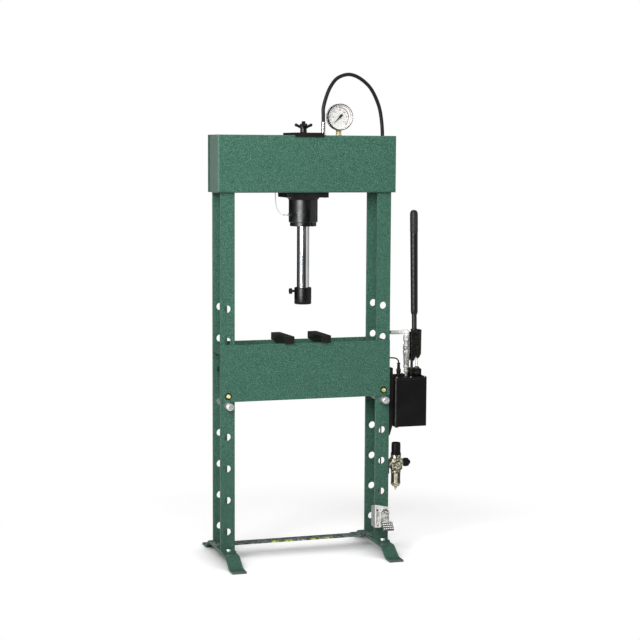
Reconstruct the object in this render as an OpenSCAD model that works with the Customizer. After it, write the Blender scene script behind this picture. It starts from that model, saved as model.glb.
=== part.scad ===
// Floor-standing hydropneumatic shop press.
// Two posts of paired flat bars carry a folded box beam at the top and stand on bent feet.
// A cylinder hangs from a carriage that slides along the beam, and its ram presses on a
// height-adjustable table. A lever pump, an air regulator and a foot valve hang on the
// right post. X runs along the beam, Y runs from front to rear and Z is up.

/* [Posts] */
// Height from the floor to the top of the beam
press_h = 1730; // [1700:1:2100]
// Clear width between the two posts
clear_w = 602; // [560:1:730]
// Width of a post bar, seen from the front
bar_w = 60; // [52:1:66]
// Thickness of a post bar
bar_t = 12; // [10:1:15]
// Space between the front and the rear bar of a post
bar_gap = 112; // [96:1:130]
// Diameter of the holes for the support pins
hole_d = 30; // [25:1:36]
// Distance from one pin hole to the next
hole_pitch = 130; // [108:1:135]
// Height of the lowest pin hole
first_hole_z = 125; // [118:1:140]
// Number of pin holes in each bar
hole_count = 8; // [6:1:8]
// Hole that carries the table, counted from the bottom
pin_row = 4; // [4:1:4]

/* [Feet] */
// Overall length of a foot, front to rear
foot_l = 518; // [440:1:620]
// Width of a foot
foot_w = 58; // [50:1:60]
// Thickness of the foot's bar
foot_t = 8; // [6:1:10]
// Height of the arch under a foot
foot_rise = 36; // [30:1:40]
// Length of each flat toe
toe_l = 45; // [35:1:55]
// Slope of the foot's bent legs, in degrees
foot_slope = 32; // [26:1:40]
// Thickness of the base plate under each post
base_t = 6; // [4:1:8]
// Length of the base plate, front to rear
base_l = 196; // [190:1:230]
// Width of the flat bar that ties the feet together
stretcher_w = 50; // [40:1:54]

/* [Beam] */
// Height of the beam
beam_h = 230; // [200:1:276]
// Sheet thickness of the beam
beam_t = 8; // [6:1:10]
// How far the beam reaches past each post
beam_over = 14; // [12:1:20]
// Thickness of the packers between the beam's sheets and the posts
packer_t = 10; // [8:1:12]
// Outer radius of the beam's folds
fold_r = 7; // [4:1:9]
// Place of the seam between the front and the rear pan, behind the middle
seam_y = 40; // [30:1:45]

/* [Cylinder] */
// Place of the ram to the right of the middle
ram_x = 4; // [-60:1:60]
// Outer diameter of the cylinder barrel
barrel_d = 118; // [104:1:142]
// Bore of the cylinder
bore_d = 80; // [72:1:86]
// Diameter of the piston rod
rod_d = 50; // [44:1:60]
// Travel of the ram
stroke = 250; // [200:1:256]
// How far the barrel hangs below the beam
barrel_drop = 122; // [110:1:146]
// Diameter of the ram's nose
nose_d = 70; // [66:1:84]
// Height of the ram's nose
nose_h = 69; // [60:1:80]
// Diameter of the blind tool hole in the nose
tool_d = 30; // [25:1:36]
// Depth of the tool hole
tool_l = 25; // [20:1:28]
// Thickness of the carriage plate under the beam
carriage_t = 20; // [16:1:24]
// Width of the clamp plate on top of the beam
clamp_w = 120; // [100:1:140]
// Diameter of the clamp stud
stud_d = 16; // [14:1:18]
// Reach of the star knob's arms
knob_r = 34; // [30:1:42]

/* [Pressure gauge] */
// Diameter of the gauge
gauge_d = 108; // [90:1:110]
// Depth of the gauge's case
gauge_t = 36; // [32:1:40]
// Place of the gauge to the right of the ram
gauge_off = 150; // [144:1:160]
// Height of the gauge's centre above the beam
gauge_z = 75; // [72:1:90]
// Place of the hose fitting to the right of the ram
hose_off = 84; // [80:1:86]

/* [Table] */
// Height of the table's plates
table_h = 230; // [200:1:240]
// Thickness of the table's plates
table_t = 8; // [6:1:10]
// How far the table ends short of the posts' outer edges
table_inset = 2.5; // [1:0.5:8]
// Length of a press block
block_l = 175; // [150:1:200]
// Width of a press block
block_w = 40; // [35:1:48]
// Height of a press block
block_h = 30; // [25:1:36]
// Diameter of a support pin
pin_d = 29.4; // [24.4:0.1:35.4]
// How far a support pin stands out in front of its post
pin_out = 50; // [40:1:60]

/* [Pump] */
// Width of the oil reservoir
tank_w = 139; // [130:1:160]
// Depth of the oil reservoir
tank_d = 123; // [110:1:140]
// Height of the oil reservoir without its lid
tank_h = 199; // [180:1:220]
// Height of the reservoir's bottom above the floor
tank_z = 530; // [520:1:560]
// Depth of the channel bracket between the post and the reservoir
bracket_t = 15; // [12:1:20]
// Diameter of the lever's bar
lever_d = 21; // [18:1:22]
// Diameter of the lever's grip
grip_d = 32; // [28:1:36]
// Length of the lever's grip
grip_l = 434; // [380:1:460]
// Length of the bare bar between the socket and the grip
bare_l = 64; // [50:1:80]
// Lean of the resting lever towards the post, in degrees
lever_lean = 0.9; // [0:0.1:2]

/* [Air preparation] */
// Diameter of the regulator knob
reg_knob_d = 39; // [34:1:42]
// Outer diameter of the bowl guard
guard_d = 42; // [40:1:46]
// Width of the foot valve
valve_w = 63; // [58:1:70]
// Height of the foot valve
valve_h = 97; // [92:1:104]
// Depth of the foot valve
valve_d = 50; // [46:1:56]

/* [Hidden] */
$fn = 64;

// Clearances
slide_gap = 0.3;
seat_gap = 0.3;
fit_gap = 0.05;
loose_gap = 0.1;
cut = 1;

// Main places, with the press's own middle plane at x = 0
post_in = clear_w / 2;
post_x = post_in + bar_w / 2;
post_out = post_in + bar_w;
bar_y = bar_gap / 2;
post_y = bar_y + bar_t;
beam_w = 2 * (post_out + beam_over);
beam_d = 2 * (post_y + packer_t + beam_t);
beam_z = press_h - beam_h;
slot_y = barrel_d / 2 + 3;
foot_top = foot_rise + foot_t;
base_z = foot_top + base_t;
tank_x = post_out + bracket_t;
reach = tank_x + tank_w;

// The part's origin is the middle of its whole width, so the press stands to the left
press_x = (beam_w / 2 - reach) / 2;

// Table and pins
pin_z = first_hole_z + pin_row * hole_pitch;
table_z = pin_z + pin_d / 2 + seat_gap;
table_y = post_y + 1;
table_w = 2 * (post_out - table_inset);
table_top = table_z + table_h;
spacer_h = 90;
spacer_t = 10;
table_bolt_up = 24;

// Cylinder
gland_h = 16;
spigot_h = 20;
piston_h = 30;
barrel_z = beam_z - barrel_drop;
gland_z = barrel_z - gland_h;
piston_z = barrel_z + spigot_h + 4;
bore_top = piston_z + piston_h + stroke + 8;
barrel_top = bore_top + 22;
nose_top = gland_z - stroke - slide_gap;
nose_z = nose_top - nose_h;
socket_l = 25;
rod_z = nose_top - socket_l;
rod_bore_d = rod_d - 18;
rod_bore_z = nose_top + 8;
carriage_w = barrel_d + 58;
carriage_d = 2 * (slot_y + 8);
carriage_z = beam_z - slide_gap - carriage_t;
collar_h = 10;
collar_d = barrel_d + 17;
lip_t = 6;
lip_h = 7;
plate_t = 10;
plate_z = press_h + slide_gap;
plate_top = plate_z + plate_t;
stud_top = plate_top + 47;
hub_d = 28;
hub_h = 26;
manifold_h = 26;
manifold_top = press_h - beam_t;
manifold_z = manifold_top - manifold_h;

// Pump and lever
pump_y = -40;
tank_y = -103;
tank_wall = 3;
lid_t = 6;
lid_z = tank_z + tank_h;
lid_top = lid_z + lid_t;
pivot_x = post_out + 108;
pivot_z = lid_top + 71;
lever_off = 12;
crank_x = 23;
crank_z = 12;
eye_t = 10;
cheek_gap = 14;
cheek_t = 5;
socket_top = pivot_z + 122;
air_x = post_out + 50;
outlet_x = post_out + 84;
outlet_top = lid_top + 170;

// Regulator and foot valve
reg_x = post_out + 42;
reg_y = -40;
reg_z = 368;
reg_w = 46;
coupler_d = 36;
valve_x = post_x - 14.5;
valve_z = 114;

// Routes of the tubes. Each point is told from the piece that it leads to or passes.
hose_d = 15;
hose_x = ram_x + hose_off;
hose_z = manifold_top + 63;
side_x = post_out + 7;
rear_y = beam_d / 2 + 14;
elbow_z = outlet_top + 6;
hose_route = [
    [hose_x, 0, hose_z], [hose_x, 0, hose_z + 27], [hose_x, 0, hose_z + 55],
    [hose_x + 12, 4, hose_z + 97], [hose_x + 33, 12, hose_z + 141],
    [hose_x + 66, 23, hose_z + 178], [hose_x + 116, 38, hose_z + 195],
    [side_x - 118, 52, hose_z + 187], [side_x - 74, 66, hose_z + 162],
    [side_x - 42, 77, hose_z + 130], [side_x - 12, 88, hose_z + 77],
    [side_x + 3, 94, hose_z + 25], [side_x + 11, rear_y - 2, hose_z - 44],
    [side_x + 10, rear_y, press_h - 60], [side_x + 6, rear_y + 1, press_h - 140],
    [side_x + 2, rear_y + 1, press_h - 230], [side_x, rear_y + 1, press_h - 330],
    [side_x - 2, rear_y + 1, elbow_z + 389], [side_x - 4, rear_y, elbow_z + 289],
    [side_x - 6, rear_y - 2, elbow_z + 189], [side_x - 8, rear_y - 4, elbow_z + 129],
    [side_x - 8, rear_y - 4, elbow_z + 75], [side_x - 5, rear_y - 9, elbow_z + 46],
    [side_x + 3, rear_y - 23, elbow_z + 22], [side_x + 15, rear_y - 44, elbow_z + 6],
    [side_x + 29, rear_y - 68, elbow_z], [side_x + 34, rear_y - 76, elbow_z]
];
leak_d = 4.4;
leak_x = ram_x - barrel_d / 2 - 22;
leak_low = barrel_z + 30;
leak_high = barrel_z + 232;
leak_route = [
    [leak_x, 0, leak_low], [leak_x - 4, 0, leak_low], [leak_x - 16, 0, leak_low + 5],
    [leak_x - 28, 0, leak_low + 22], [leak_x - 35, 0, leak_low + 48],
    [leak_x - 37, 0, leak_low + 82], [leak_x - 37, 0, leak_high - 80],
    [leak_x - 35, 0, leak_high - 48], [leak_x - 28, 0, leak_high - 22],
    [leak_x - 16, 0, leak_high - 5], [leak_x - 4, 0, leak_high], [leak_x, 0, leak_high]
];
air_d = 6;
air_top = lid_top + 55;
inner_x = post_out - 9;
air_route_pump = [
    [air_x, pump_y, air_top], [air_x, pump_y, air_top + 4], [air_x - 3, pump_y + 2, air_top + 10],
    [air_x - 11, pump_y + 6, air_top + 14], [air_x - 27, pump_y + 14, air_top + 15],
    [inner_x + 14, -17, air_top + 13], [inner_x + 4, -10, air_top + 5],
    [inner_x, -2, air_top - 10], [inner_x, 4, air_top - 30], [inner_x, 8, 600],
    [inner_x, 8, 450], [inner_x, 8, 300], [inner_x - 2, 6, 190], [inner_x - 6, -6, 152],
    [inner_x - 11, 30 - bar_y, 127], [inner_x - 13, 6 - bar_y, 127], [inner_x - 13, -post_y, 127]
];
air_route_filter = [
    [post_out + 3, reg_y, reg_z], [post_out - 2, reg_y, reg_z], [inner_x - 4, reg_y + 3, reg_z - 7],
    [inner_x - 14, reg_y + 8, reg_z - 30], [inner_x - 18, reg_y + 12, reg_z - 58],
    [inner_x - 18, reg_y + 16, 270], [inner_x - 20, reg_y + 16, 200],
    [inner_x - 24, reg_y + 12, 158], [inner_x - 28, 18 - bar_y, 136],
    [inner_x - 29, 2 - bar_y, 127], [inner_x - 29, -post_y, 127]
];

paint = [0.28, 0.47, 0.39];
black = [0.10, 0.10, 0.11];
zinc = [0.80, 0.81, 0.80];
brass = [0.72, 0.62, 0.36];

// ---- shared shapes ----

// The press stands to the left of the part's origin, so that the whole width is centred
module place() {
    translate([press_x, 0, 0]) children();
}

module mirror_x() {
    children();
    mirror([1, 0, 0]) children();
}

module mirror_y() {
    children();
    mirror([0, 1, 0]) children();
}

// Rectangle of w by d around the origin, with round corners
module round_rect(w, d, r) {
    square([w - 2 * r, d], center = true);
    square([w, d - 2 * r], center = true);
    for (x = [-1, 1], y = [-1, 1]) {
        translate([x * (w / 2 - r), y * (d / 2 - r)]) circle(r);
    }
}

// Plate of w by h that faces the front, t thick, from y = 0 towards the rear
module front_plate(w, h, t, r) {
    translate([0, t, h / 2]) rotate([90, 0, 0]) linear_extrude(t) round_rect(w, h, r);
}

// Cylinder that runs along +X from the origin
module bar_x(d, l) {
    rotate([0, 90, 0]) cylinder(d = d, h = l);
}

// Cylinder that runs along +Y from the origin
module bar_y(d, l) {
    rotate([-90, 0, 0]) cylinder(d = d, h = l);
}

// Hexagon of the given width across flats
module hex(flats, h) {
    cylinder(d = flats / cos(30), h = h, $fn = 6);
}

// Points of an arc around [cx, cy]
function arc(cx, cy, r, from, to, steps) =
    [for (i = [0 : steps]) let (a = from + (to - from) * i / steps) [cx + r * cos(a), cy + r * sin(a)]];

// Smooth route through the given points, with one extra point in each span
function between(a, b, c, d) = (9 * (b + c) - (a + d)) / 16;
function smooth(p) = [
    for (i = [0 : len(p) - 2])
        let (a = p[max(i - 1, 0)], b = p[i], c = p[i + 1], d = p[min(i + 2, len(p) - 1)])
            each [b, between(a, b, c, d)],
    p[len(p) - 1]
];

// Round tube of diameter d, swept through the points p with flat sides
module swept_tube(p, d, sides, ref) {
    last = len(p) - 1;
    unit = function (v) v / norm(v);
    dirs = [for (i = [0 : last]) unit(p[min(i + 1, last)] - p[max(i - 1, 0)])];
    rings = [for (i = [0 : last])
        let (side = unit(cross(dirs[i], ref)), up = cross(side, dirs[i]))
            [for (k = [0 : sides - 1])
                let (a = 360 * k / sides) p[i] + d / 2 * (cos(a) * side + sin(a) * up)]];
    points = [for (r = rings) each r];
    walls = [for (i = [0 : last - 1], k = [0 : sides - 1])
        let (n = (k + 1) % sides)
            each [[i * sides + k, i * sides + n, (i + 1) * sides + n],
                  [i * sides + k, (i + 1) * sides + n, (i + 1) * sides + k]]];
    start = [[for (k = [0 : sides - 1]) sides - 1 - k]];
    end = [[for (k = [0 : sides - 1]) last * sides + k]];
    polyhedron(points, concat(walls, start, end));
}

// ---- beam ----

// Box of folded sheet, open along its top and bottom for the carriage
module beam_box() {
    inside_w = beam_w - 2 * beam_t;
    inside_d = beam_d - 2 * beam_t;
    inside_h = beam_h - 2 * beam_t;
    difference() {
        intersection() {
            translate([0, 0, beam_z]) linear_extrude(beam_h) round_rect(beam_w, beam_d, fold_r);
            translate([-beam_w / 2, 0, beam_z + beam_h / 2]) rotate([90, 0, 90])
                linear_extrude(beam_w) round_rect(beam_d, beam_h, fold_r);
        }
        translate([-inside_w / 2, -inside_d / 2, beam_z + beam_t]) cube([inside_w, inside_d, inside_h]);
        translate([-inside_w / 2, -slot_y, beam_z - cut]) cube([inside_w, 2 * slot_y, beam_h + 2 * cut]);
        mirror_x() mirror_y()
            translate([post_in - 0.5, bar_y - 0.5, beam_z - cut])
                cube([bar_w + 1, bar_t + 1, beam_t + 2 * cut]);
    }
}

module beam_front() {
    place() color(paint) difference() {
        beam_box();
        translate([-beam_w, seam_y, beam_z - cut]) cube([2 * beam_w, beam_d, beam_h + 2 * cut]);
    }
}

module beam_rear() {
    place() color(paint) difference() {
        beam_box();
        translate([-beam_w, seam_y - 2 * beam_d, beam_z - cut])
            cube([2 * beam_w, 2 * beam_d, beam_h + 2 * cut]);
    }
}

// ---- posts ----

// One upright bar, with its front face at y = 0
module post_bar() {
    difference() {
        translate([0, bar_t / 2, base_z]) linear_extrude(press_h - beam_t - base_z)
            round_rect(bar_w, bar_t, 1.5);
        for (k = [0 : hole_count - 1]) {
            translate([0, -cut, first_hole_z + k * hole_pitch]) bar_y(hole_d, bar_t + 2 * cut);
        }
    }
}

module post_bars(x) {
    translate([x, -post_y, 0]) post_bar();
    translate([x, bar_y, 0]) post_bar();
}

module left_post_bars() {
    place() color(paint) post_bars(-post_x);
}

module right_post_bars() {
    place() color(paint) post_bars(post_x);
}

// Packers inside the beam, and one tie between the bars of each post
module post_packers() {
    tie_z = lid_top + 115;
    place() color(paint) {
        mirror_x() mirror_y()
            translate([post_in, post_y, beam_z + 20]) cube([bar_w, packer_t, beam_h - 40]);
        mirror_x()
            translate([post_out - 12, -bar_y, tie_z]) cube([12, bar_gap, 35]);
    }
}

// ---- feet ----

// Half of the foot's side outline: its upper edge, and its lower edge back to the middle
foot_r = 30;
leg_drop = (2 * foot_r + foot_t) * (1 - cos(foot_slope));
leg_run = (foot_rise - leg_drop) / tan(foot_slope) + (2 * foot_r + foot_t) * sin(foot_slope);
toe_y = foot_l / 2 - toe_l;
bend_y = toe_y - leg_run;
foot_upper = concat(
    arc(bend_y, foot_rise - foot_r, foot_r + foot_t, 90, 90 - foot_slope, 6),
    arc(toe_y, foot_t + foot_r, foot_r, 270 - foot_slope, 270, 6),
    [[foot_l / 2 - 3, foot_t], [foot_l / 2, foot_t - 3]]
);
foot_lower = concat(
    [[foot_l / 2, 0]],
    arc(toe_y, foot_t + foot_r, foot_r + foot_t, 270, 270 - foot_slope, 6),
    arc(bend_y, foot_rise - foot_r, foot_r, 90 - foot_slope, 90, 6)
);
foot_half = concat(foot_upper, foot_lower);
foot_side = concat(foot_half, [for (i = [len(foot_half) - 1 : -1 : 0]) [-foot_half[i].x, foot_half[i].y]]);

module foot(x) {
    difference() {
        translate([x - foot_w / 2, 0, 0]) rotate([90, 0, 90]) linear_extrude(foot_w)
            polygon(foot_side);
        foot_bolt_holes(foot_rise - cut, foot_t + 2 * cut);
    }
}

bolt_d = 10;
bolt_flats = 17;
bolt_y = post_y + 16;

module foot_bolt_holes(z, h) {
    mirror_x() mirror_y()
        translate([post_x, bolt_y, z]) cylinder(d = bolt_d + 2 * loose_gap, h = h);
}

module left_foot() {
    place() color(paint) foot(-post_x);
}

module right_foot() {
    place() color(paint) foot(post_x);
}

module base_plates() {
    place() color(paint) difference() {
        mirror_x() translate([post_x, 0, foot_top]) linear_extrude(base_t)
            round_rect(foot_w, base_l, 3);
        foot_bolt_holes(foot_top - cut, base_t + 2 * cut);
    }
}

// Bolts through the base plates and the feet, with their nuts
module foot_bolts() {
    head_h = 8;
    nut_h = 8;
    tail = 3;
    place() color(zinc) mirror_x() mirror_y() translate([post_x, bolt_y, 0]) {
        translate([0, 0, base_z]) hex(bolt_flats, head_h);
        translate([0, 0, foot_rise - nut_h - tail])
            cylinder(d = bolt_d, h = base_z - foot_rise + nut_h + tail);
        translate([0, 0, foot_rise - nut_h]) hex(bolt_flats, nut_h);
    }
}

// Flat bar that lies on both base plates, between the bars of the posts
module stretcher() {
    place() color(paint) translate([-post_out, bar_y - stretcher_w, base_z])
        cube([2 * post_out, stretcher_w, 6]);
}

// ---- table ----

module table_plate() {
    difference() {
        translate([0, 0, table_z]) front_plate(table_w, table_h, table_t, 2);
        mirror_x() translate([post_x, -cut, table_z + table_bolt_up])
            bar_y(12 + 2 * fit_gap, table_t + 2 * cut);
    }
}

module table_front() {
    place() color(paint) translate([0, -table_y - table_t, 0]) table_plate();
}

module table_rear() {
    place() color(paint) translate([0, table_y, 0]) table_plate();
}

// Webs that hold the two plates apart
module table_spacers() {
    place() color(paint) mirror_x() for (x = [clear_w * 0.16, clear_w * 0.47]) {
        translate([x - spacer_t / 2, -table_y, table_z + 15]) cube([spacer_t, 2 * table_y, spacer_h]);
    }
}

// Flanged hexagon bolts low on the table, in front of and behind the posts
module table_bolts() {
    place() color([0.85, 0.80, 0.45]) mirror_x() mirror_y()
        translate([post_x, table_y, table_z + table_bolt_up]) {
            bar_y(12, table_t);
            translate([0, table_t, 0]) bar_y(26, 2);
            translate([0, table_t + 2, 0]) rotate([-90, 0, 0]) hex(19, 8);
        }
}

// Bar of rectangular section with bevelled long edges, centred on the origin
module press_block() {
    b = 1.5;
    rotate([90, 0, 0]) translate([0, 0, -block_l / 2]) linear_extrude(block_l) polygon([
        [-block_w / 2 + b, 0], [block_w / 2 - b, 0], [block_w / 2, b], [block_w / 2, block_h - b],
        [block_w / 2 - b, block_h], [-block_w / 2 + b, block_h], [-block_w / 2, block_h - b],
        [-block_w / 2, b]
    ]);
}

// The two blocks lie loosely across the table's plates
module press_blocks() {
    place() color(black) {
        translate([-82, -1, table_top]) rotate([0, 0, 3.5]) press_block();
        translate([75, -1, table_top]) rotate([0, 0, 2.5]) press_block();
    }
}

module support_pin(x) {
    tip = 3;
    back = table_y + table_t + 7;
    place() color(zinc) translate([x, -post_y - pin_out, pin_z]) {
        rotate([-90, 0, 0]) cylinder(d1 = pin_d - 2 * tip, d2 = pin_d, h = tip);
        translate([0, tip, 0]) bar_y(pin_d, pin_out + post_y + back - 2 * tip);
        translate([0, pin_out + post_y + back - tip, 0]) rotate([-90, 0, 0])
            cylinder(d1 = pin_d, d2 = pin_d - 2 * tip, h = tip);
    }
}

module left_support_pin() {
    support_pin(-post_x);
}

module right_support_pin() {
    support_pin(post_x);
}

// ---- carriage and cylinder ----

// Moves the children to the ram's axis
module at_ram() {
    place() translate([ram_x, 0, 0]) children();
}

// Plate that slides under the beam, with the tapered weld round the barrel
module carriage_plate() {
    at_ram() color(black) difference() {
        union() {
            translate([0, 0, carriage_z]) linear_extrude(carriage_t)
                round_rect(carriage_w, carriage_d, 4);
            translate([0, 0, carriage_z - collar_h])
                cylinder(d1 = barrel_d + 2, d2 = collar_d, h = collar_h);
        }
        translate([0, 0, carriage_z - collar_h - cut])
            cylinder(d = barrel_d + 2 * loose_gap, h = carriage_t + collar_h + 2 * cut);
    }
}

nipple_d = 8;
nipple_in = 8;
spigot_d = 20;
spigot_l = 10;
stud_in = 16;

// Barrel with a closed top, which has the holes for the stud, the manifold and the nipples
module cylinder_barrel() {
    at_ram() color(black) difference() {
        union() {
            translate([0, 0, barrel_z]) cylinder(d1 = barrel_d - 4, d2 = barrel_d, h = 2);
            translate([0, 0, barrel_z + 2]) cylinder(d = barrel_d, h = barrel_top - barrel_z - 2);
        }
        translate([0, 0, barrel_z - cut]) cylinder(d = bore_d, h = bore_top - barrel_z + cut);
        translate([0, 0, barrel_top - stud_in])
            cylinder(d = stud_d + 2 * fit_gap, h = stud_in + cut);
        translate([barrel_d / 2 - spigot_l, 0, manifold_z + manifold_h / 2])
            bar_x(spigot_d + 2 * fit_gap, barrel_d);
        for (z = [leak_low, leak_high]) {
            translate([-barrel_d, 0, z]) bar_x(nipple_d + 2 * fit_gap, barrel_d / 2 + nipple_in);
        }
    }
}

module cylinder_gland() {
    gland_d = barrel_d - 10;
    at_ram() color(black) difference() {
        union() {
            translate([0, 0, gland_z]) cylinder(d1 = gland_d - 4, d2 = gland_d, h = 2);
            translate([0, 0, gland_z + 2]) cylinder(d = gland_d, h = gland_h - 2);
            translate([0, 0, barrel_z]) cylinder(d = bore_d - 2 * loose_gap, h = spigot_h);
        }
        translate([0, 0, gland_z - cut])
            cylinder(d = rod_d + 2 * fit_gap, h = gland_h + spigot_h + 2 * cut);
    }
}

// Plate on top of the beam, with a lip over the beam's front and rear edges
module clamp_plate() {
    lip_y = beam_d / 2 + slide_gap;
    at_ram() color(black) difference() {
        union() {
            translate([0, 0, plate_z]) linear_extrude(plate_t)
                round_rect(clamp_w, 2 * (lip_y + lip_t), 2);
            mirror_y() translate([-clamp_w / 2, lip_y, press_h - lip_h])
                cube([clamp_w, lip_t, lip_h + slide_gap + 2]);
        }
        translate([0, 0, plate_z - cut])
            cylinder(d = stud_d + 2 * loose_gap, h = plate_t + 2 * cut);
    }
}

module clamp_stud() {
    at_ram() color(zinc) {
        translate([0, 0, barrel_top - stud_in])
            cylinder(d = stud_d, h = stud_top - barrel_top + stud_in - 2);
        translate([0, 0, stud_top - 2]) cylinder(d1 = stud_d, d2 = stud_d - 3, h = 2);
    }
}

// Four-armed knob that screws down on the stud
module star_knob() {
    arm_d = 12;
    rise = 24;
    at_ram() color(black) difference() {
        union() {
            translate([0, 0, plate_top + seat_gap]) cylinder(d = hub_d, h = hub_h);
            for (a = [0 : 90 : 270]) {
                rotate([0, 0, a]) translate([0, 0, plate_top + hub_h - 8]) rotate([0, 90 - rise, 0]) {
                    cylinder(d1 = arm_d + 2, d2 = arm_d, h = knob_r);
                    translate([0, 0, knob_r]) sphere(d = arm_d);
                }
            }
        }
        translate([0, 0, plate_top - cut]) cylinder(d = stud_d + 2 * loose_gap, h = 2 * hub_h);
    }
}

// Hollow rod with the piston turned on its upper end
module piston_rod() {
    at_ram() color([0.85, 0.86, 0.88]) difference() {
        union() {
            translate([0, 0, rod_z]) cylinder(d = rod_d, h = piston_z - rod_z);
            translate([0, 0, piston_z]) cylinder(d = bore_d - 2 * fit_gap, h = piston_h);
        }
        translate([0, 0, rod_bore_z])
            cylinder(d = rod_bore_d, h = piston_z + piston_h - rod_bore_z + cut);
    }
}

// Closely wound return spring inside the rod, as a plain sleeve of its outer size
module return_spring() {
    at_ram() color(zinc) difference() {
        translate([0, 0, rod_bore_z + seat_gap])
            cylinder(d = rod_bore_d - 4, h = bore_top - rod_bore_z - 2 * seat_gap);
        translate([0, 0, rod_bore_z])
            cylinder(d = rod_bore_d - 14, h = bore_top - rod_bore_z);
    }
}

screw_d = 10;
screw_up = 54;

module ram_nose() {
    edge = 3;
    at_ram() color(black) difference() {
        union() {
            translate([0, 0, nose_z]) cylinder(d1 = nose_d - 2 * edge, d2 = nose_d, h = edge);
            translate([0, 0, nose_z + edge]) cylinder(d = nose_d, h = nose_h - 2 * edge);
            translate([0, 0, nose_top - edge]) cylinder(d1 = nose_d, d2 = nose_d - 2 * edge, h = edge);
        }
        translate([0, 0, nose_z - cut]) cylinder(d = tool_d, h = tool_l + cut);
        translate([0, 0, rod_z]) cylinder(d = rod_d + 2 * fit_gap, h = socket_l + cut);
        translate([-nose_d, 0, nose_z + screw_up]) bar_x(screw_d + 2 * fit_gap, nose_d);
    }
}

// Knurled hand screw that holds the nose on the rod
module nose_screw() {
    neck = 12;
    head_d = 24;
    head_t = 10;
    at_ram() color(black) translate([-rod_d / 2 - seat_gap, 0, nose_z + screw_up]) mirror([1, 0, 0]) {
        bar_x(screw_d, (nose_d - rod_d) / 2 + neck);
        translate([(nose_d - rod_d) / 2 + neck, 0, 0]) bar_x(head_d, head_t);
    }
}

// Steel block that brings oil from the barrel to the hose and the gauge
module manifold() {
    w = 24;
    at_ram() color(black) {
        translate([barrel_d / 2 + 2, -w / 2, manifold_z])
            cube([gauge_off - barrel_d / 2 + 12, w, manifold_h]);
        translate([barrel_d / 2 - spigot_l, 0, manifold_z + manifold_h / 2])
            bar_x(spigot_d, spigot_l + 4);
    }
}

// Nut and crimped ferrule on the upper end of the hose
module hose_fitting() {
    at_ram() color(zinc) translate([hose_off, 0, manifold_top]) {
        hex(22, 12);
        translate([0, 0, 12]) cylinder(d = 17.6, h = 51);
    }
}

module gauge_stem() {
    at_ram() color(brass) translate([gauge_off, 0, manifold_top]) {
        hex(22, 12);
        translate([-9, -9, 12]) cube([18, 18, gauge_z + beam_t - gauge_d / 2 - 7]);
    }
}

// The gauge faces the front, and its stem stands at y = 0
gauge_front = -26;
bezel = 5;

// Moves the children to the middle of the gauge's front
module at_gauge() {
    at_ram() translate([gauge_off, gauge_front, press_h + gauge_z]) children();
}

module gauge_case() {
    at_gauge() color(black) difference() {
        union() {
            bar_y(gauge_d, 12);
            translate([0, 12, 0]) bar_y(gauge_d - 4, gauge_t - 12);
        }
        translate([0, -cut, 0]) bar_y(gauge_d - 2 * bezel, 16 + cut);
        translate([-9 - loose_gap, -gauge_front - 9 - loose_gap, -gauge_d])
            cube([18 + 2 * loose_gap, 18 + 2 * loose_gap, gauge_d / 2 + 5 + loose_gap]);
    }
}

module gauge_dial() {
    at_gauge() color("white") difference() {
        translate([0, 14.5, 0]) bar_y(gauge_d - 2 * bezel - 0.4, 1.5);
        translate([0, 13, 0]) bar_y(3.2, 4);
    }
}

module gauge_lens() {
    at_gauge() color([0.9, 0.95, 0.95, 0.4]) translate([0, 2, 0])
        bar_y(gauge_d - 2 * bezel - 0.4, 2);
}

// Pointer at rest, on the empty end of the scale at the lower left
module gauge_needle() {
    tip_l = gauge_d / 2 - 18;
    at_gauge() color(black) {
        translate([0, 9, 0]) bar_y(8, 4);
        translate([0, 9, 0]) bar_y(3, 6.5);
        translate([0, 11, 0]) rotate([90, 135, 0]) linear_extrude(1)
            polygon([[-14, -2.5], [-14, 2.5], [0, 1.5], [tip_l, 0.4], [tip_l, -0.4], [0, -1.5]]);
    }
}

// Two small nipples that the leak-off tube joins
module bleed_nipples() {
    at_ram() color(brass) for (z = [leak_low, leak_high]) {
        translate([-barrel_d / 2 + nipple_in, 0, z]) mirror([1, 0, 0]) {
            bar_x(nipple_d, nipple_in + 2);
            translate([nipple_in + 1, 0, 0]) bar_x(11, 5);
            translate([nipple_in + 6, 0, 0]) bar_x(6, 16);
        }
    }
}

module leak_tube() {
    place() color([0.9, 0.9, 0.86, 0.6]) swept_tube(leak_route, leak_d, 8, [0, 1, 0]);
}

module pressure_hose() {
    place() color(black) swept_tube(smooth(hose_route), hose_d, 10, [0.3, 1, 0]);
}

// ---- pump ----

// Channel welded to the outer edges of the right post's bars
module pump_bracket() {
    wall = 5;
    z0 = tank_z - 40;
    h = tank_h + 84;
    foot = 38;
    place() color(black) translate([post_out, -post_y, z0]) difference() {
        translate([0, 2 * post_y, 0]) rotate([90, 0, 0]) linear_extrude(2 * post_y)
            polygon([[0, 0], [3, 0], [bracket_t, foot], [bracket_t, h], [0, h]]);
        translate([-cut, wall, -cut]) cube([bracket_t - wall + cut, 2 * (post_y - wall), h + 2 * cut]);
    }
}

// Moves the children to the reservoir's middle, on the floor
module at_tank() {
    place() translate([tank_x + tank_w / 2, tank_y + tank_d / 2, 0]) children();
}

drain_d = 12;

module reservoir() {
    r = 7;
    at_tank() color(black) difference() {
        translate([0, 0, tank_z]) linear_extrude(tank_h) round_rect(tank_w, tank_d, r);
        translate([0, 0, tank_z + tank_wall]) linear_extrude(tank_h)
            round_rect(tank_w - 2 * tank_wall, tank_d - 2 * tank_wall, r - tank_wall);
        translate([-tank_w / 2 + 20, 40 - tank_d / 2, tank_z - cut])
            cylinder(d = drain_d + 2 * fit_gap, h = tank_wall + 2 * cut);
    }
}

plunger_d = 10;
sleeve_d = 26;

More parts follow.
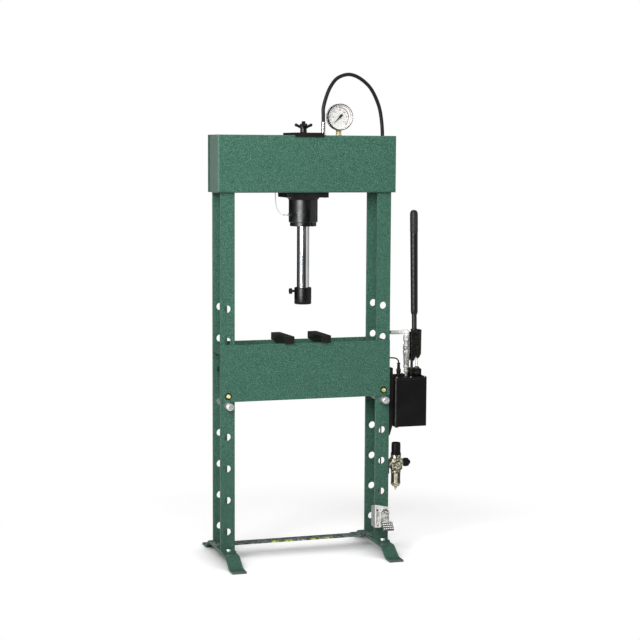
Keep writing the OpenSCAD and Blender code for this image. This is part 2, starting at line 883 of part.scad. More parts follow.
module reservoir_lid() {
    place() color(black) difference() {
        translate([tank_x + tank_w / 2, tank_y + tank_d / 2, lid_z]) linear_extrude(lid_t)
            round_rect(tank_w, tank_d, 7);
        translate([pivot_x + crank_x, pump_y, lid_z - cut])
            cylinder(d = sleeve_d + 2 * loose_gap, h = lid_t + 2 * cut);
    }
}

// Lid screws, the filler plug on the lid and the drain plug under the tank
module pump_screws() {
    inset = 8;
    at_tank() color(zinc) {
        mirror_x() mirror_y() translate([tank_w / 2 - inset, tank_d / 2 - inset, lid_top])
            cylinder(d = 8, h = 4);
        mirror_y() translate([0, tank_d / 2 - inset, lid_top]) cylinder(d = 8, h = 4);
        translate([tank_w / 2 - 24, tank_d / 2 - 22, lid_top]) hex(19, 9);
        translate([-tank_w / 2 + 20, 40 - tank_d / 2, tank_z]) mirror([0, 0, 1]) hex(17, 10);
        translate([-tank_w / 2 + 20, 40 - tank_d / 2, tank_z]) cylinder(d = drain_d, h = tank_wall);
    }
}

release_x = 11;
release_z = 14;

// Block on the lid, with the pump's sleeve hanging from it into the oil
module pump_block() {
    block_x = pivot_x - 13;
    place() color(black) difference() {
        union() {
            translate([block_x, pump_y - 22, lid_top]) cube([49, 44, 30]);
            translate([pivot_x + crank_x, pump_y, lid_z - 70]) cylinder(d = sleeve_d, h = 80);
        }
        translate([pivot_x + crank_x, pump_y, lid_z - 65])
            cylinder(d = plunger_d + 2 * fit_gap, h = 120);
        translate([pivot_x, pump_y, lid_top + 16]) cylinder(d = 11 + 2 * fit_gap, h = 20);
        translate([pivot_x + release_x, pump_y - 23, lid_top + release_z]) bar_y(8 + 2 * fit_gap, 15);
    }
}

pivot_pin_d = 8;
crank_pin_d = 6;

// Post that carries the lever's pivot pin in its eye
module pivot_post() {
    place() color(black) translate([pivot_x, pump_y, 0]) difference() {
        union() {
            translate([0, 0, lid_top + 16]) cylinder(d = 11, h = pivot_z - lid_top - 16);
            translate([0, -eye_t / 2, pivot_z]) bar_y(17, eye_t);
        }
        translate([0, -eye_t, pivot_z]) bar_y(pivot_pin_d + 2 * fit_gap, 2 * eye_t);
    }
}

// Plunger with a slotted eye, because the crank pin swings as the plunger rises and falls
module pump_plunger() {
    slot_r = crank_pin_d / 2 + 0.6;
    travel = [-1.2, 3];
    plunger_z = pivot_z + crank_z;
    place() color([0.75, 0.76, 0.78]) translate([pivot_x + crank_x, pump_y, 0]) difference() {
        union() {
            translate([0, 0, lid_top - 35]) cylinder(d = plunger_d, h = plunger_z - lid_top + 35);
            translate([0, -eye_t / 2, plunger_z]) bar_y(17, eye_t);
            translate([travel[0], -eye_t / 2, plunger_z - 8.5]) cube([travel[1] - travel[0], eye_t, 17]);
        }
        for (x = travel) {
            translate([x, -eye_t, plunger_z]) bar_y(2 * slot_r, 2 * eye_t);
        }
        translate([travel[0], -eye_t, plunger_z - slot_r])
            cube([travel[1] - travel[0], 2 * eye_t, 2 * slot_r]);
    }
}

// Moves the children to the lever's pivot, with z along the leaning bar
module along_lever() {
    place() translate([pivot_x, pump_y, pivot_z]) rotate([0, -lever_lean, 0])
        translate([lever_off, 0, 0]) children();
}

// Two cheeks round the pump's eyes, with the socket for the bar between them
module lever_socket() {
    inner = cheek_gap / 2;
    side = [
        [-9, -4], [-4, -9], [4, -9], [9, -3], [14, 16], [17, 4], [23, 1], [29, 5],
        [37, 20], [38, 122], [26, 122], [26, 112], [-6, 112], [-6, 20]
    ];
    place() color(black) difference() {
        union() {
            for (y = [-inner - cheek_t, inner]) {
                translate([pivot_x, pump_y + y + cheek_t, pivot_z]) rotate([90, 0, 0])
                    linear_extrude(cheek_t) polygon(side);
            }
            intersection() {
                translate([pivot_x - 40, pump_y - inner - cheek_t / 2, pivot_z + 44])
                    cube([80, cheek_gap + cheek_t, 74]);
                translate([pivot_x, pump_y, pivot_z]) rotate([0, -lever_lean, 0])
                    translate([lever_off, 0, 40]) cylinder(d = lever_d + 9, h = 90);
            }
        }
        lever_bore();
        translate([pivot_x, pump_y - 20, pivot_z]) bar_y(pivot_pin_d + 2 * fit_gap, 40);
        translate([pivot_x + crank_x, pump_y - 20, pivot_z + crank_z])
            bar_y(crank_pin_d + 2 * fit_gap, 40);
    }
}

// Hole in the socket for the lever's bar
module lever_bore() {
    translate([pivot_x, pump_y, pivot_z]) rotate([0, -lever_lean, 0])
        translate([lever_off, 0, 52]) cylinder(d = lever_d + 2 * loose_gap, h = 100);
}

module lever_pins() {
    half = cheek_gap / 2 + cheek_t + 1.5;
    place() color(zinc) {
        translate([pivot_x, pump_y - half, pivot_z]) bar_y(pivot_pin_d, 2 * half);
        translate([pivot_x + crank_x, pump_y - half, pivot_z + crank_z]) bar_y(crank_pin_d, 2 * half);
    }
}

module lever_bar() {
    along_lever() color(black) translate([0, 0, 52.3])
        cylinder(d = lever_d, h = socket_top - pivot_z - 52.3 + bare_l + grip_l - 20);
}

// Rubber grip, slightly tapered towards its domed end
module lever_grip() {
    start = socket_top - pivot_z + bare_l;
    neck = 12;
    along_lever() color(black) translate([0, 0, start]) difference() {
        rotate_extrude() polygon(concat(
            [[0, 0], [lever_d / 2 + 2, 0], [grip_d / 2 - 2, neck], [grip_d / 2, grip_l - 90]],
            [[grip_d / 2 + 0.5, grip_l - 60]],
            arc(0, grip_l - grip_d / 2, grip_d / 2, 0, 90, 8)
        ));
        translate([0, 0, -cut]) cylinder(d = lever_d + 2 * fit_gap, h = grip_l - 19.7 + cut);
    }
}

module release_knob() {
    place() color(black) translate([pivot_x + release_x, pump_y - 22 - seat_gap, lid_top + release_z])
        rotate([90, 0, 0]) {
            cylinder(d = 19, h = 13);
            translate([0, 0, -13]) cylinder(d = 8, h = 14);
        }
}

// Turned adapters that bring the oil up from the lid
module outlet_fitting() {
    h = outlet_top - lid_top;
    place() color(zinc) translate([outlet_x, pump_y, lid_top]) rotate_extrude() polygon([
        [0, 0], [7, 0], [7, 14], [9.5, 14], [9.5, 32], [11, 36], [13, 78], [13, 110], [15, 112],
        [15, 122], [13, 124], [13, 132], [11, 132], [11, 144], [13.5, 146], [13.5, h - 2],
        [12, h], [0, h]
    ]);
}

// Elbow and crimped ferrule on the lower end of the hose
module hose_elbow() {
    from = [outlet_x, pump_y, outlet_top + 13];
    to = hose_route[len(hose_route) - 1];
    run = to - from;
    flat = norm([run.x, run.y]);
    place() color(zinc) {
        translate([outlet_x, pump_y, outlet_top]) cylinder(d = 20, h = 13);
        translate(from) sphere(d = 23);
        translate(from) rotate([0, 90 - atan2(run.z, flat), atan2(run.y, run.x)]) {
            cylinder(d = 12, h = norm(run) - 1);
            translate([0, 0, 18]) cylinder(d = 17.6, h = norm(run) - 18 - 2 * seat_gap);
        }
    }
}

// Air fitting on the reservoir's lid, and the hose coupler on the regulator's inlet
module air_fittings() {
    place() color(black) translate([air_x, pump_y, lid_top]) {
        hex(15, 14);
        translate([0, 0, 14]) hex(17, 16);
        translate([0, 0, 30]) cylinder(d = 12, h = 25);
    }
    at_reg() color(black) translate([reg_w / 2 + 6, 0, 0]) difference() {
        union() {
            bar_x(coupler_d, 29);
            translate([29, 0, 0]) bar_x(18, 4);
        }
        translate([12, 0, 0]) bar_x(12, 30);
    }
}

// Air tube from the pump to the foot valve, and from the regulator to the foot valve
module air_lines() {
    place() color(black) {
        swept_tube(air_route_pump, air_d, 8, [1, 1, 0]);
        swept_tube(air_route_filter, air_d, 8, [1, 1, 0]);
    }
}

// ---- air preparation ----

module filter_bracket() {
    place() color(black) translate([post_out, -post_y, reg_z - 40]) difference() {
        cube([3, 50, 62]);
        translate([-cut, reg_y + post_y, 40]) bar_x(air_d + 0.6, 3 + 2 * cut);
    }
}

// Moves the children to the regulator's middle, level with its ports
module at_reg() {
    place() translate([reg_x, reg_y, reg_z]) children();
}

// Body with its ports, the filter element below and the threaded neck above
reg_low = -31;
reg_top = 34;
neck_d = 18;
bowl_low = reg_low - 62;

module regulator_body() {
    boss = reg_x - post_out - 3;
    at_reg() color(brass) difference() {
        union() {
            translate([0, 0, reg_low]) linear_extrude(53) round_rect(reg_w, 42, 6);
            translate([-boss, 0, 0]) bar_x(24, boss + reg_w / 2 + 6);
            translate([0, 0, 22]) cylinder(d = 44, h = reg_top - 22);
            translate([0, 0, reg_top]) cylinder(d = neck_d, h = 30);
            translate([0, 0, reg_low - 38]) cylinder(d = 15, h = 40);
        }
        translate([reg_w / 2 - 10, 0, 0]) bar_x(12, 20);
    }
}

module regulator_knob() {
    h = 52;
    at_reg() color(black) translate([0, 0, reg_top + seat_gap]) difference() {
        union() {
            cylinder(d = reg_knob_d + 4, h = 8);
            cylinder(d = reg_knob_d, h = h - 2);
            translate([0, 0, h - 2]) cylinder(d1 = reg_knob_d, d2 = reg_knob_d - 4, h = 2);
        }
        translate([0, 0, -cut]) cylinder(d = neck_d + 2 * loose_gap, h = 32 + cut);
    }
}

// Clear bowl inside its slotted guard
module filter_bowl() {
    outer = guard_d - 7;
    wall = 2;
    end_h = 8;
    at_reg() color([0.85, 0.82, 0.65, 0.5]) translate([0, 0, bowl_low]) difference() {
        union() {
            cylinder(d = outer, h = reg_low - bowl_low);
            translate([0, 0, -end_h]) cylinder(d1 = 18, d2 = outer, h = end_h);
            difference() {
                cylinder(d = guard_d, h = reg_low - bowl_low);
                translate([0, 0, -cut]) cylinder(d = outer - 1, h = 62 + 2 * cut);
                for (a = [72.5 : 90 : 342.5]) {
                    rotate([0, 0, a]) translate([0, -8.5, 8]) cube([guard_d, 17, 43]);
                }
            }
        }
        translate([0, 0, 2]) cylinder(d = outer - 2 * wall, h = reg_low - bowl_low);
        translate([0, 0, -end_h - cut]) cylinder(d = 8 + 2 * fit_gap, h = 20);
    }
}

module drain_cock() {
    at_reg() color(brass) translate([0, 0, bowl_low - 8]) {
        translate([0, 0, -2]) cylinder(d = 8, h = 14);
        translate([0, 0, -9]) cylinder(d = 13, h = 9 - seat_gap);
        translate([0, 0, -16]) cylinder(d = 6, h = 9);
    }
}

// ---- foot valve ----

pedal_w = 29;
pedal_side = 2;
pedal_x = valve_x + valve_w / 2 - pedal_w / 2 - pedal_side - 2;
pedal_z = valve_z + 52;
hinge_in = 10;
hinge_d = 6;

// Moves the children to the middle of the pedal's hinge
module at_pedal() {
    place() translate([pedal_x, -post_y - valve_d + hinge_in, pedal_z]) children();
}

// Outline of the pedal's pad, seen from the front: straight below, round on top
module pad_outline(w, low, mid) {
    translate([-w / 2, low]) square([w, mid - low]);
    translate([0, mid]) circle(d = w);
}

// Cast body on the front of the right post, with a pocket for the pedal's pad. Its top falls
// towards the back and the right.
module foot_valve() {
    pocket = pedal_w + 2 * pedal_side - 1;
    color([0.72, 0.73, 0.72]) difference() {
        place() translate([valve_x, -post_y - valve_d / 2, valve_z]) linear_extrude(valve_h)
            round_rect(valve_w, valve_d, 3);
        place() translate([valve_x - valve_w / 2, -post_y - valve_d, valve_z + valve_h])
            rotate([-15, 12, 0]) translate([-20, -20, 0]) cube([valve_w + 60, valve_d + 60, 60]);
        at_pedal() {
            translate([0, 16, 0]) rotate([90, 0, 0]) linear_extrude(hinge_in + 20)
                pad_outline(pocket, valve_z - pedal_z - cut, 8);
            translate([-pedal_w / 2 - 12 - loose_gap, 0, 0]) bar_x(hinge_d + 2 * fit_gap, 60);
        }
    }
}

// Spring-loaded pedal: a pad on its own hinge pin, with the sloping tread below
module foot_pedal() {
    tread_w = 46;
    at_pedal() color([0.62, 0.63, 0.62]) {
        translate([0, -2, 0]) rotate([90, 0, 0]) linear_extrude(8) pad_outline(pedal_w, -24, 2);
        translate([-pedal_w / 2, 0, 0]) bar_x(12, pedal_w);
        translate([-pedal_w / 2 - 12, 0, 0])
            bar_x(hinge_d, pedal_w + 12 + pedal_side + 2);
        rotate([90, 0, 90]) translate([0, 0, -pedal_w / 2]) linear_extrude(pedal_w)
            polygon([[-2, -24], [-10, -16], [-24, -24], [-30, -36], [-18.7, -28.5]]);
        rotate([90, 0, 90]) translate([0, 0, -tread_w / 2 + 3]) linear_extrude(tread_w)
            polygon([[-24, -24], [-18.7, -28.5], [-44.7, -60.5], [-50, -56]]);
    }
}

beam_front();
beam_rear();
left_post_bars();
right_post_bars();
post_packers();
left_foot();
right_foot();
base_plates();
foot_bolts();
stretcher();
table_front();
table_rear();
table_spacers();
table_bolts();
press_blocks();
left_support_pin();
right_support_pin();
carriage_plate();
cylinder_barrel();
cylinder_gland();
clamp_plate();
clamp_stud();
star_knob();
piston_rod();
return_spring();
ram_nose();
nose_screw();
manifold();
hose_fitting();
gauge_stem();
gauge_case();
gauge_dial();
gauge_lens();
gauge_needle();
bleed_nipples();
leak_tube();
pressure_hose();
pump_bracket();
reservoir();
reservoir_lid();
pump_screws();
pump_block();
pivot_post();
pump_plunger();
lever_socket();
lever_pins();
lever_bar();
lever_grip();
release_knob();
outlet_fitting();
hose_elbow();
air_fittings();
air_lines();
filter_bracket();
regulator_body();
regulator_knob();
filter_bowl();
drain_cock();
foot_valve();
foot_pedal();
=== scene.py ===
import math

import bmesh
import bpy
from mathutils import Matrix, Vector


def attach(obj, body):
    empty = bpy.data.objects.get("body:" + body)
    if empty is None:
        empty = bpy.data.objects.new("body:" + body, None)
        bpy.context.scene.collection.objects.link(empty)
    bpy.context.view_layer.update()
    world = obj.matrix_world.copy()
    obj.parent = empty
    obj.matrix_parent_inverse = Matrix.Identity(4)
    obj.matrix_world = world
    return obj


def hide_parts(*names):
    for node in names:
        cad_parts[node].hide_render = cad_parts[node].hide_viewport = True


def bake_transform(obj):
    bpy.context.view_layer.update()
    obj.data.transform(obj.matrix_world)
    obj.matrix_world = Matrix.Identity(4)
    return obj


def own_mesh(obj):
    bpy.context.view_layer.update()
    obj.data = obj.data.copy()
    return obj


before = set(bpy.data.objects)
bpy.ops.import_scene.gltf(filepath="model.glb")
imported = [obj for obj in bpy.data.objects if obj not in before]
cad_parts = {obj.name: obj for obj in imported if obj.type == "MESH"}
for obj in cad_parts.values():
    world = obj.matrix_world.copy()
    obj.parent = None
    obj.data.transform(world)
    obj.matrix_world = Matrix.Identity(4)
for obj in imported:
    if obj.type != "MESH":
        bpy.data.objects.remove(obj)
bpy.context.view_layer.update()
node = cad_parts

# ---- Camera ----
# It stands in front and to the left of the press, a little below the beam's top, and looks
# slightly down.
turn, dip, tilt = math.radians(17.525), math.radians(6.05), math.radians(0.307)
ahead = Vector((math.sin(turn) * math.cos(dip), math.cos(turn) * math.cos(dip), -math.sin(dip)))
level = Vector((math.cos(turn), -math.sin(turn), 0))
upward = level.cross(ahead)
camera_x = level * math.cos(tilt) + upward * math.sin(tilt)
camera_y = upward * math.cos(tilt) - level * math.sin(tilt)
camera = bpy.data.objects.new("camera", bpy.data.cameras.new("camera"))
bpy.context.scene.collection.objects.link(camera)
camera.data.lens, camera.data.sensor_width, camera.data.clip_end = 89.98, 36, 60
facing = Matrix((camera_x, camera_y, -ahead)).transposed().to_4x4()
camera.matrix_world = Matrix.Translation((-1.9663, -6.2537, 1.6693)) @ facing
bpy.context.scene.camera = camera


# ---- Floor, surround and lamps ----
# A pale workshop floor that runs out into a white surround. Soft lamps light the press from the
# left, the front and the right. One more lamp and a round of screens show only in reflections.
def new_finish(name):
    """A material, its node tree and its Principled shader."""
    made = bpy.data.materials.new(name)
    made.use_nodes = True
    return made, made.node_tree, made.node_tree.nodes["Principled BSDF"]


def join(tree, start, end):
    tree.links.new(start, end)


def maths(tree, operation, *values):
    """A maths node over numbers or sockets."""
    made = tree.nodes.new("ShaderNodeMath")
    made.operation = operation
    for value, socket in zip(values, made.inputs):
        if isinstance(value, (int, float)):
            socket.default_value = value
        else:
            join(tree, value, socket)
    return made.outputs[0]


def ramp_value(tree, value, low, high, start=0.0, end=1.0):
    """The value carried from start..end over to low..high."""
    made = tree.nodes.new("ShaderNodeMapRange")
    for label, number in (("From Min", start), ("From Max", end), ("To Min", low), ("To Max", high)):
        made.inputs[label].default_value = number
    join(tree, value, made.inputs["Value"])
    return made.outputs["Result"]


def set_piece(name, bm, finish):
    """A piece of the set, which isn't part of the press."""
    mesh = bpy.data.meshes.new(name)
    bm.to_mesh(mesh)
    bm.free()
    mesh.materials.append(finish)
    made = bpy.data.objects.new(name, mesh)
    bpy.context.scene.collection.objects.link(made)
    return made


floor_finish, tree, shader = new_finish("pale_floor")
shader.inputs["Base Color"].default_value = (0.66, 0.66, 0.66, 1)
shader.inputs["Roughness"].default_value = 0.9
shader.inputs["Specular IOR Level"].default_value = 0.0
rays = tree.nodes.new("ShaderNodeLightPath")
seen = maths(tree, "MAXIMUM", rays.outputs["Is Camera Ray"], rays.outputs["Is Glossy Ray"])
seen = maths(tree, "MAXIMUM", seen, rays.outputs["Is Transmission Ray"])
bright = tree.nodes.new("ShaderNodeEmission")
# Painted shadow: the floor's glow is dimmed close to the press, which darkens the floor around the feet and
# under the stretcher.
painted_contact_shadow = tree.nodes.new("ShaderNodeAmbientOcclusion")
painted_contact_shadow.samples = 16
painted_contact_shadow.inputs["Distance"].default_value = 0.16
lifted = maths(tree, "MULTIPLY", maths(tree, "POWER", painted_contact_shadow.outputs["AO"], 1.7), 0.53)
lifted = maths(tree, "MULTIPLY", seen, lifted)
join(tree, lifted, bright.inputs["Strength"])
near = tree.nodes.new("ShaderNodeAddShader")
join(tree, shader.outputs[0], near.inputs[0])
join(tree, bright.outputs[0], near.inputs[1])
white = tree.nodes.new("ShaderNodeEmission")
join(tree, ramp_value(tree, seen, 0.35, 1.0), white.inputs["Strength"])
where = tree.nodes.new("ShaderNodeTexCoord").outputs["Object"]
length = tree.nodes.new("ShaderNodeVectorMath")
length.operation = "LENGTH"
join(tree, where, length.inputs[0])
far = tree.nodes.new("ShaderNodeMapRange")
far.interpolation_type = "SMOOTHSTEP"
far.inputs["From Min"].default_value = 0.75
far.inputs["From Max"].default_value = 1.5
join(tree, length.outputs["Value"], far.inputs["Value"])
floor_mix = tree.nodes.new("ShaderNodeMixShader")
join(tree, far.outputs["Result"], floor_mix.inputs[0])
join(tree, near.outputs[0], floor_mix.inputs[1])
join(tree, white.outputs[0], floor_mix.inputs[2])
join(tree, floor_mix.outputs[0], tree.nodes["Material Output"].inputs["Surface"])
sheet = bmesh.new()
bmesh.ops.create_grid(sheet, x_segments=1, y_segments=1, size=30)
set_piece("floor", sheet, floor_finish)

round_wall = bmesh.new()
bmesh.ops.create_cone(
    round_wall, cap_ends=False, segments=72, radius1=4.4, radius2=4.4, depth=4.4,
    matrix=Matrix.Translation((0, 0, 2.2)),
)
screen_finishes = []
for name, glow in (
    ("dark_screen", 0.015), ("grey_screen", 0.11), ("pale_screen", 0.76), ("side_screen", 0.5),
):
    made, tree, shader = new_finish(name)
    shader.inputs["Base Color"].default_value = (0.01, 0.01, 0.01, 1)
    shader.inputs["Roughness"].default_value = 1
    shader.inputs["Specular IOR Level"].default_value = 0
    shader.inputs["Emission Color"].default_value = (1, 1, 1, 1)
    shader.inputs["Emission Strength"].default_value = glow
    screen_finishes.append(made)
windows = []
for face in round_wall.faces:
    middle = face.calc_center_median()
    around = (math.degrees(math.atan2(middle.y, middle.x)) + 107 + 180) % 360 - 180
    if -60 < around < -14:
        windows.append(face)
    elif -80 < around < -68:
        face.material_index = 3
    elif -14 < around < 28:
        face.material_index = 1
    elif 59 < around < 137:
        face.material_index = 2
bmesh.ops.delete(round_wall, geom=windows, context="FACES")
screens = set_piece("studio_screens", round_wall, screen_finishes[0])
for made in screen_finishes[1:]:
    screens.data.materials.append(made)
screens.visible_camera = screens.visible_diffuse = False
screens.visible_shadow = screens.visible_transmission = False

world = bpy.data.worlds.new("white_surround")
world.use_nodes = True
bpy.context.scene.world = world
tree = world.node_tree
rays = tree.nodes.new("ShaderNodeLightPath")
seen = maths(tree, "MAXIMUM", rays.outputs["Is Camera Ray"], rays.outputs["Is Glossy Ray"])
seen = maths(tree, "MAXIMUM", seen, rays.outputs["Is Transmission Ray"])
tree.nodes["Background"].inputs["Color"].default_value = (1, 1, 1, 1)
join(tree, ramp_value(tree, seen, 0.36, 1.0), tree.nodes["Background"].inputs["Strength"])

for name, spot, aim, across, power in (
    ("shine_lamp", (-3.55, -3.55, 2.25), (0, 0, 1.6), (2.7, 2.6), 430),
    ("key_lamp", (-2.7, -2.5, 3.3), (0, 0, 1.5), (1.2, 1.2), 88),
    ("front_lamp", (-1.2, -3.4, 2.4), (0, 0, 1.2), (1.8, 1.4), 62),
    ("rim_lamp", (3.2, -1.2, 3.0), (0, 0, 1.3), (1.8, 1.8), 26),
):
    lamp = bpy.data.lights.new(name, "AREA")
    lamp.shape, lamp.size, lamp.size_y, lamp.energy = "RECTANGLE", *across, power
    holder = bpy.data.objects.new(name, lamp)
    holder.visible_diffuse = name != "shine_lamp"
    holder.visible_glossy = name == "shine_lamp"
    holder.location = spot
    holder.rotation_euler = (Vector(aim) - Vector(spot)).to_track_quat("-Z", "Y").to_euler()
    bpy.context.scene.collection.objects.link(holder)
bpy.context.scene.view_settings.view_transform = "Standard"


# ---- High-pressure hose ----
# Black rubber over wire braid, 15 mm thick. It rises from its crimped end on the manifold, arches
# over the right end of the beam and drops behind the post to the pump's outlet.
def node_group(name, inputs, outputs):
    """An empty shader node group with named sockets."""
    made = bpy.data.node_groups.new(name, "ShaderNodeTree")
    for label, kind, value in inputs:
        made.interface.new_socket(label, in_out="INPUT", socket_type=kind).default_value = value
    for label, kind in outputs:
        made.interface.new_socket(label, in_out="OUTPUT", socket_type=kind)
    return made, made.nodes.new("NodeGroupInput"), made.nodes.new("NodeGroupOutput")


# Mottle: fine and broad noise that breaks up a finish. Size is the grain's size in metres.
mottle, given, put = node_group(
    "mottle",
    (("Size", "NodeSocketFloat", 0.002), ("Stretch", "NodeSocketVector", (1, 1, 1))),
    (("Fine", "NodeSocketFloat"), ("Broad", "NodeSocketFloat"), ("Both", "NodeSocketFloat")),
)
stretched = mottle.nodes.new("ShaderNodeVectorMath")
stretched.operation = "MULTIPLY"
join(mottle, mottle.nodes.new("ShaderNodeTexCoord").outputs["Object"], stretched.inputs[0])
join(mottle, given.outputs["Stretch"], stretched.inputs[1])
skewed = mottle.nodes.new("ShaderNodeMapping")
skewed.inputs["Rotation"].default_value = (0.5, 0.8, 0.3)
join(mottle, stretched.outputs[0], skewed.inputs["Vector"])
often = maths(mottle, "DIVIDE", 1.0, given.outputs["Size"])
layers = []
for output, share, detail in (("Fine", 1.0, 2.0), ("Broad", 0.05, 3.0)):
    noise = mottle.nodes.new("ShaderNodeTexNoise")
    noise.inputs["Detail"].default_value = detail
    join(mottle, skewed.outputs[0], noise.inputs["Vector"])
    join(mottle, maths(mottle, "MULTIPLY", often, share), noise.inputs["Scale"])
    join(mottle, noise.outputs["Fac"], put.inputs[output])
    layers.append(noise.outputs["Fac"])
halves = maths(mottle, "MULTIPLY", layers[0], 0.6), maths(mottle, "MULTIPLY", layers[1], 0.4)
join(mottle, maths(mottle, "ADD", *halves), put.inputs["Both"])


def use_group(tree, group, **values):
    made = tree.nodes.new("ShaderNodeGroup")
    made.node_tree = group
    for label, value in values.items():
        made.inputs[label].default_value = value
    return made.outputs


def shades(tree, mask, *stops):
    """Colours over a mask, from (place, linear colour) pairs."""
    made = tree.nodes.new("ShaderNodeValToRGB")
    stretch = made.color_ramp.elements
    while len(stretch) < len(stops):
        stretch.new(0.5)
    for stop, (at, colour) in zip(stretch, stops):
        stop.position, stop.color = at, (*colour, 1)
    join(tree, mask, made.inputs["Fac"])
    return made.outputs["Color"]


def blended(tree, mask, first, second):
    """The second colour over the first where the mask is 1."""
    made = tree.nodes.new("ShaderNodeMix")
    made.data_type = "RGBA"
    join(tree, mask, made.inputs["Factor"])
    for value, socket in ((first, made.inputs[6]), (second, made.inputs[7])):
        if isinstance(value, tuple):
            socket.default_value = (*value, 1)
        else:
            join(tree, value, socket)
    return made.outputs[2]


def roughen(tree, shader, height, depth):
    """Bump from a height mask, depth in metres."""
    made = tree.nodes.new("ShaderNodeBump")
    made.inputs["Distance"].default_value = depth
    join(tree, height, made.inputs["Height"])
    join(tree, made.outputs["Normal"], shader.inputs["Normal"])


def dress(tree, shader, colour, mask, *rough):
    """Colour onto the shader, with a roughness that follows a mask."""
    join(tree, colour, shader.inputs["Base Color"])
    join(tree, ramp_value(tree, mask, *rough), shader.inputs["Roughness"])


def rubber(name, dark, pale, rough, size, depth):
    """Black rubber: slightly uneven in tone, with a fine skin."""
    made, tree, shader = new_finish(name)
    out = use_group(tree, mottle, Size=size)
    dress(
        tree, shader, shades(tree, out["Both"], (0.35, dark), (0.65, pale)), out["Broad"], rough - 0.1,
        rough + 0.12, 0.3, 0.7,
    )
    shader.inputs["Specular IOR Level"].default_value = 0.3
    roughen(tree, shader, out["Fine"], depth)
    return made


def smooth_route(points, parts=4):
    """A route through points in metres, rounded between them."""
    spots = [Vector(point) for point in points]
    spots = [spots[0], *spots, spots[-1]]
    route = []
    for a, b, c, d in zip(spots, spots[1:], spots[2:], spots[3:]):
        for t in (i / parts for i in range(parts)):
            bend = (a * 2 - b * 5 + c * 4 - d) * t * t + (b * 3 - a - c * 3 + d) * t**3
            route.append((b * 2 + (c - a) * t + bend) / 2)
    return [*route, spots[-1]]


def shown(name, mesh, finish, sharp=35):
    """An object from a finished mesh, smooth except at its sharp edges."""
    made = bpy.data.objects.new(name, mesh)
    bpy.context.scene.collection.objects.link(made)
    mesh.materials.clear()
    mesh.materials.append(finish)
    mesh.polygons.foreach_set("use_smooth", [True] * len(mesh.polygons))
    mesh.set_sharp_from_angle(angle=math.radians(sharp))
    return made


def as_mesh(name, curve):
    """A curve or a piece of lettering as a mesh."""
    holder = bpy.data.objects.new(name + "_curve", curve)
    bpy.context.scene.collection.objects.link(holder)
    mesh = bpy.data.meshes.new_from_object(holder.evaluated_get(bpy.context.evaluated_depsgraph_get()))
    bpy.data.objects.remove(holder)
    return mesh


def tube_along(name, route, thick, finish, sides):
    """A round tube with closed ends along a route."""
    curve = bpy.data.curves.new(name, "CURVE")
    curve.dimensions = "3D"
    curve.bevel_depth, curve.bevel_resolution, curve.use_fill_caps = thick / 2, sides, True
    line = curve.splines.new("POLY")
    line.points.add(len(route) - 1)
    for spot, place in zip(line.points, route):
        spot.co = (*place, 1)
    mesh = as_mesh(name, curve)
    mesh.name = name
    return shown(name, mesh, finish)


hose_rubber = rubber("hose_rubber", (0.003, 0.003, 0.003), (0.008, 0.008, 0.0075), 0.5, 0.0012, 0.0001)
hose_points = [
    (0.018, 0.000, 1.785), (0.018, 0.000, 1.812), (0.018, 0.000, 1.840), (0.030, 0.004, 1.882),
    (0.051, 0.012, 1.926), (0.084, 0.023, 1.963), (0.134, 0.038, 1.980), (0.180, 0.052, 1.972),
    (0.224, 0.066, 1.947), (0.256, 0.077, 1.915), (0.286, 0.088, 1.862), (0.301, 0.094, 1.810),
    (0.309, 0.098, 1.741), (0.308, 0.100, 1.670), (0.304, 0.101, 1.590), (0.300, 0.101, 1.500),
    (0.298, 0.101, 1.400), (0.296, 0.101, 1.300), (0.294, 0.100, 1.200), (0.292, 0.098, 1.100),
    (0.290, 0.096, 1.040), (0.290, 0.096, 0.986), (0.293, 0.091, 0.957), (0.301, 0.077, 0.933),
    (0.313, 0.056, 0.917), (0.327, 0.032, 0.911), (0.332, 0.024, 0.911),
]
hose_route = smooth_route(hose_points)
hose = tube_along("pressure_hose_line", hose_route, 0.015, hose_rubber, 8)
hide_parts("pressure_hose")
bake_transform(hose)

# ---- Hose ends ----
# Bright zinc hexagon nuts with crimped steel ferrules. The lower one ends in a swivel elbow on the
# pump's outlet.


def plated(name, dark, pale, rough, size=0.003, depth=0.00002, stretch=(1, 1, 1), metal=1):
    """Plated or turned metal: cloudy in tone, with fine marks."""
    made, tree, shader = new_finish(name)
    out = use_group(tree, mottle, Size=size, Stretch=stretch)
    dress(
        tree, shader, shades(tree, out["Both"], (0.36, dark), (0.62, pale)), out["Fine"], rough - 0.08,
        rough + 0.12, 0.3, 0.7,
    )
    shader.inputs["Metallic"].default_value = metal
    roughen(tree, shader, out["Fine"], depth)
    return made


def turned(profile, steps=48):
    """A turned shape about Z, from (radius, height) pairs in millimetres."""
    bm = bmesh.new()
    line = [bm.verts.new((r / 1000, 0, z / 1000)) for r, z in profile]
    edges = [bm.edges.new(pair) for pair in zip(line, line[1:])]
    bmesh.ops.spin(
        bm, geom=line + edges, cent=(0, 0, 0), axis=(0, 0, 1), angle=math.tau, steps=steps, use_merge=True
    )
    bmesh.ops.remove_doubles(bm, verts=bm.verts, dist=1e-6)
    bmesh.ops.recalc_face_normals(bm, faces=bm.faces)
    return bm


def hexagon(flats, height, low=0.0, chamfer=0.8):
    """A hexagon in millimetres, standing on low, with its rims broken."""
    bm = bmesh.new()
    radius = flats / math.cos(math.pi / 6) / 2000
    bmesh.ops.create_cone(
        bm, cap_ends=True, segments=6, radius1=radius, radius2=radius, depth=height / 1000,
        matrix=Matrix.Translation((0, 0, (low + height / 2) / 1000)),
    )
    rims = [e for e in bm.edges if abs(e.verts[0].co.z - e.verts[1].co.z) < 1e-7]
    bmesh.ops.bevel(
        bm, geom=rims, offset=chamfer / 1000, segments=2, affect="EDGES", profile=0.5, material=-1
    )
    return bm


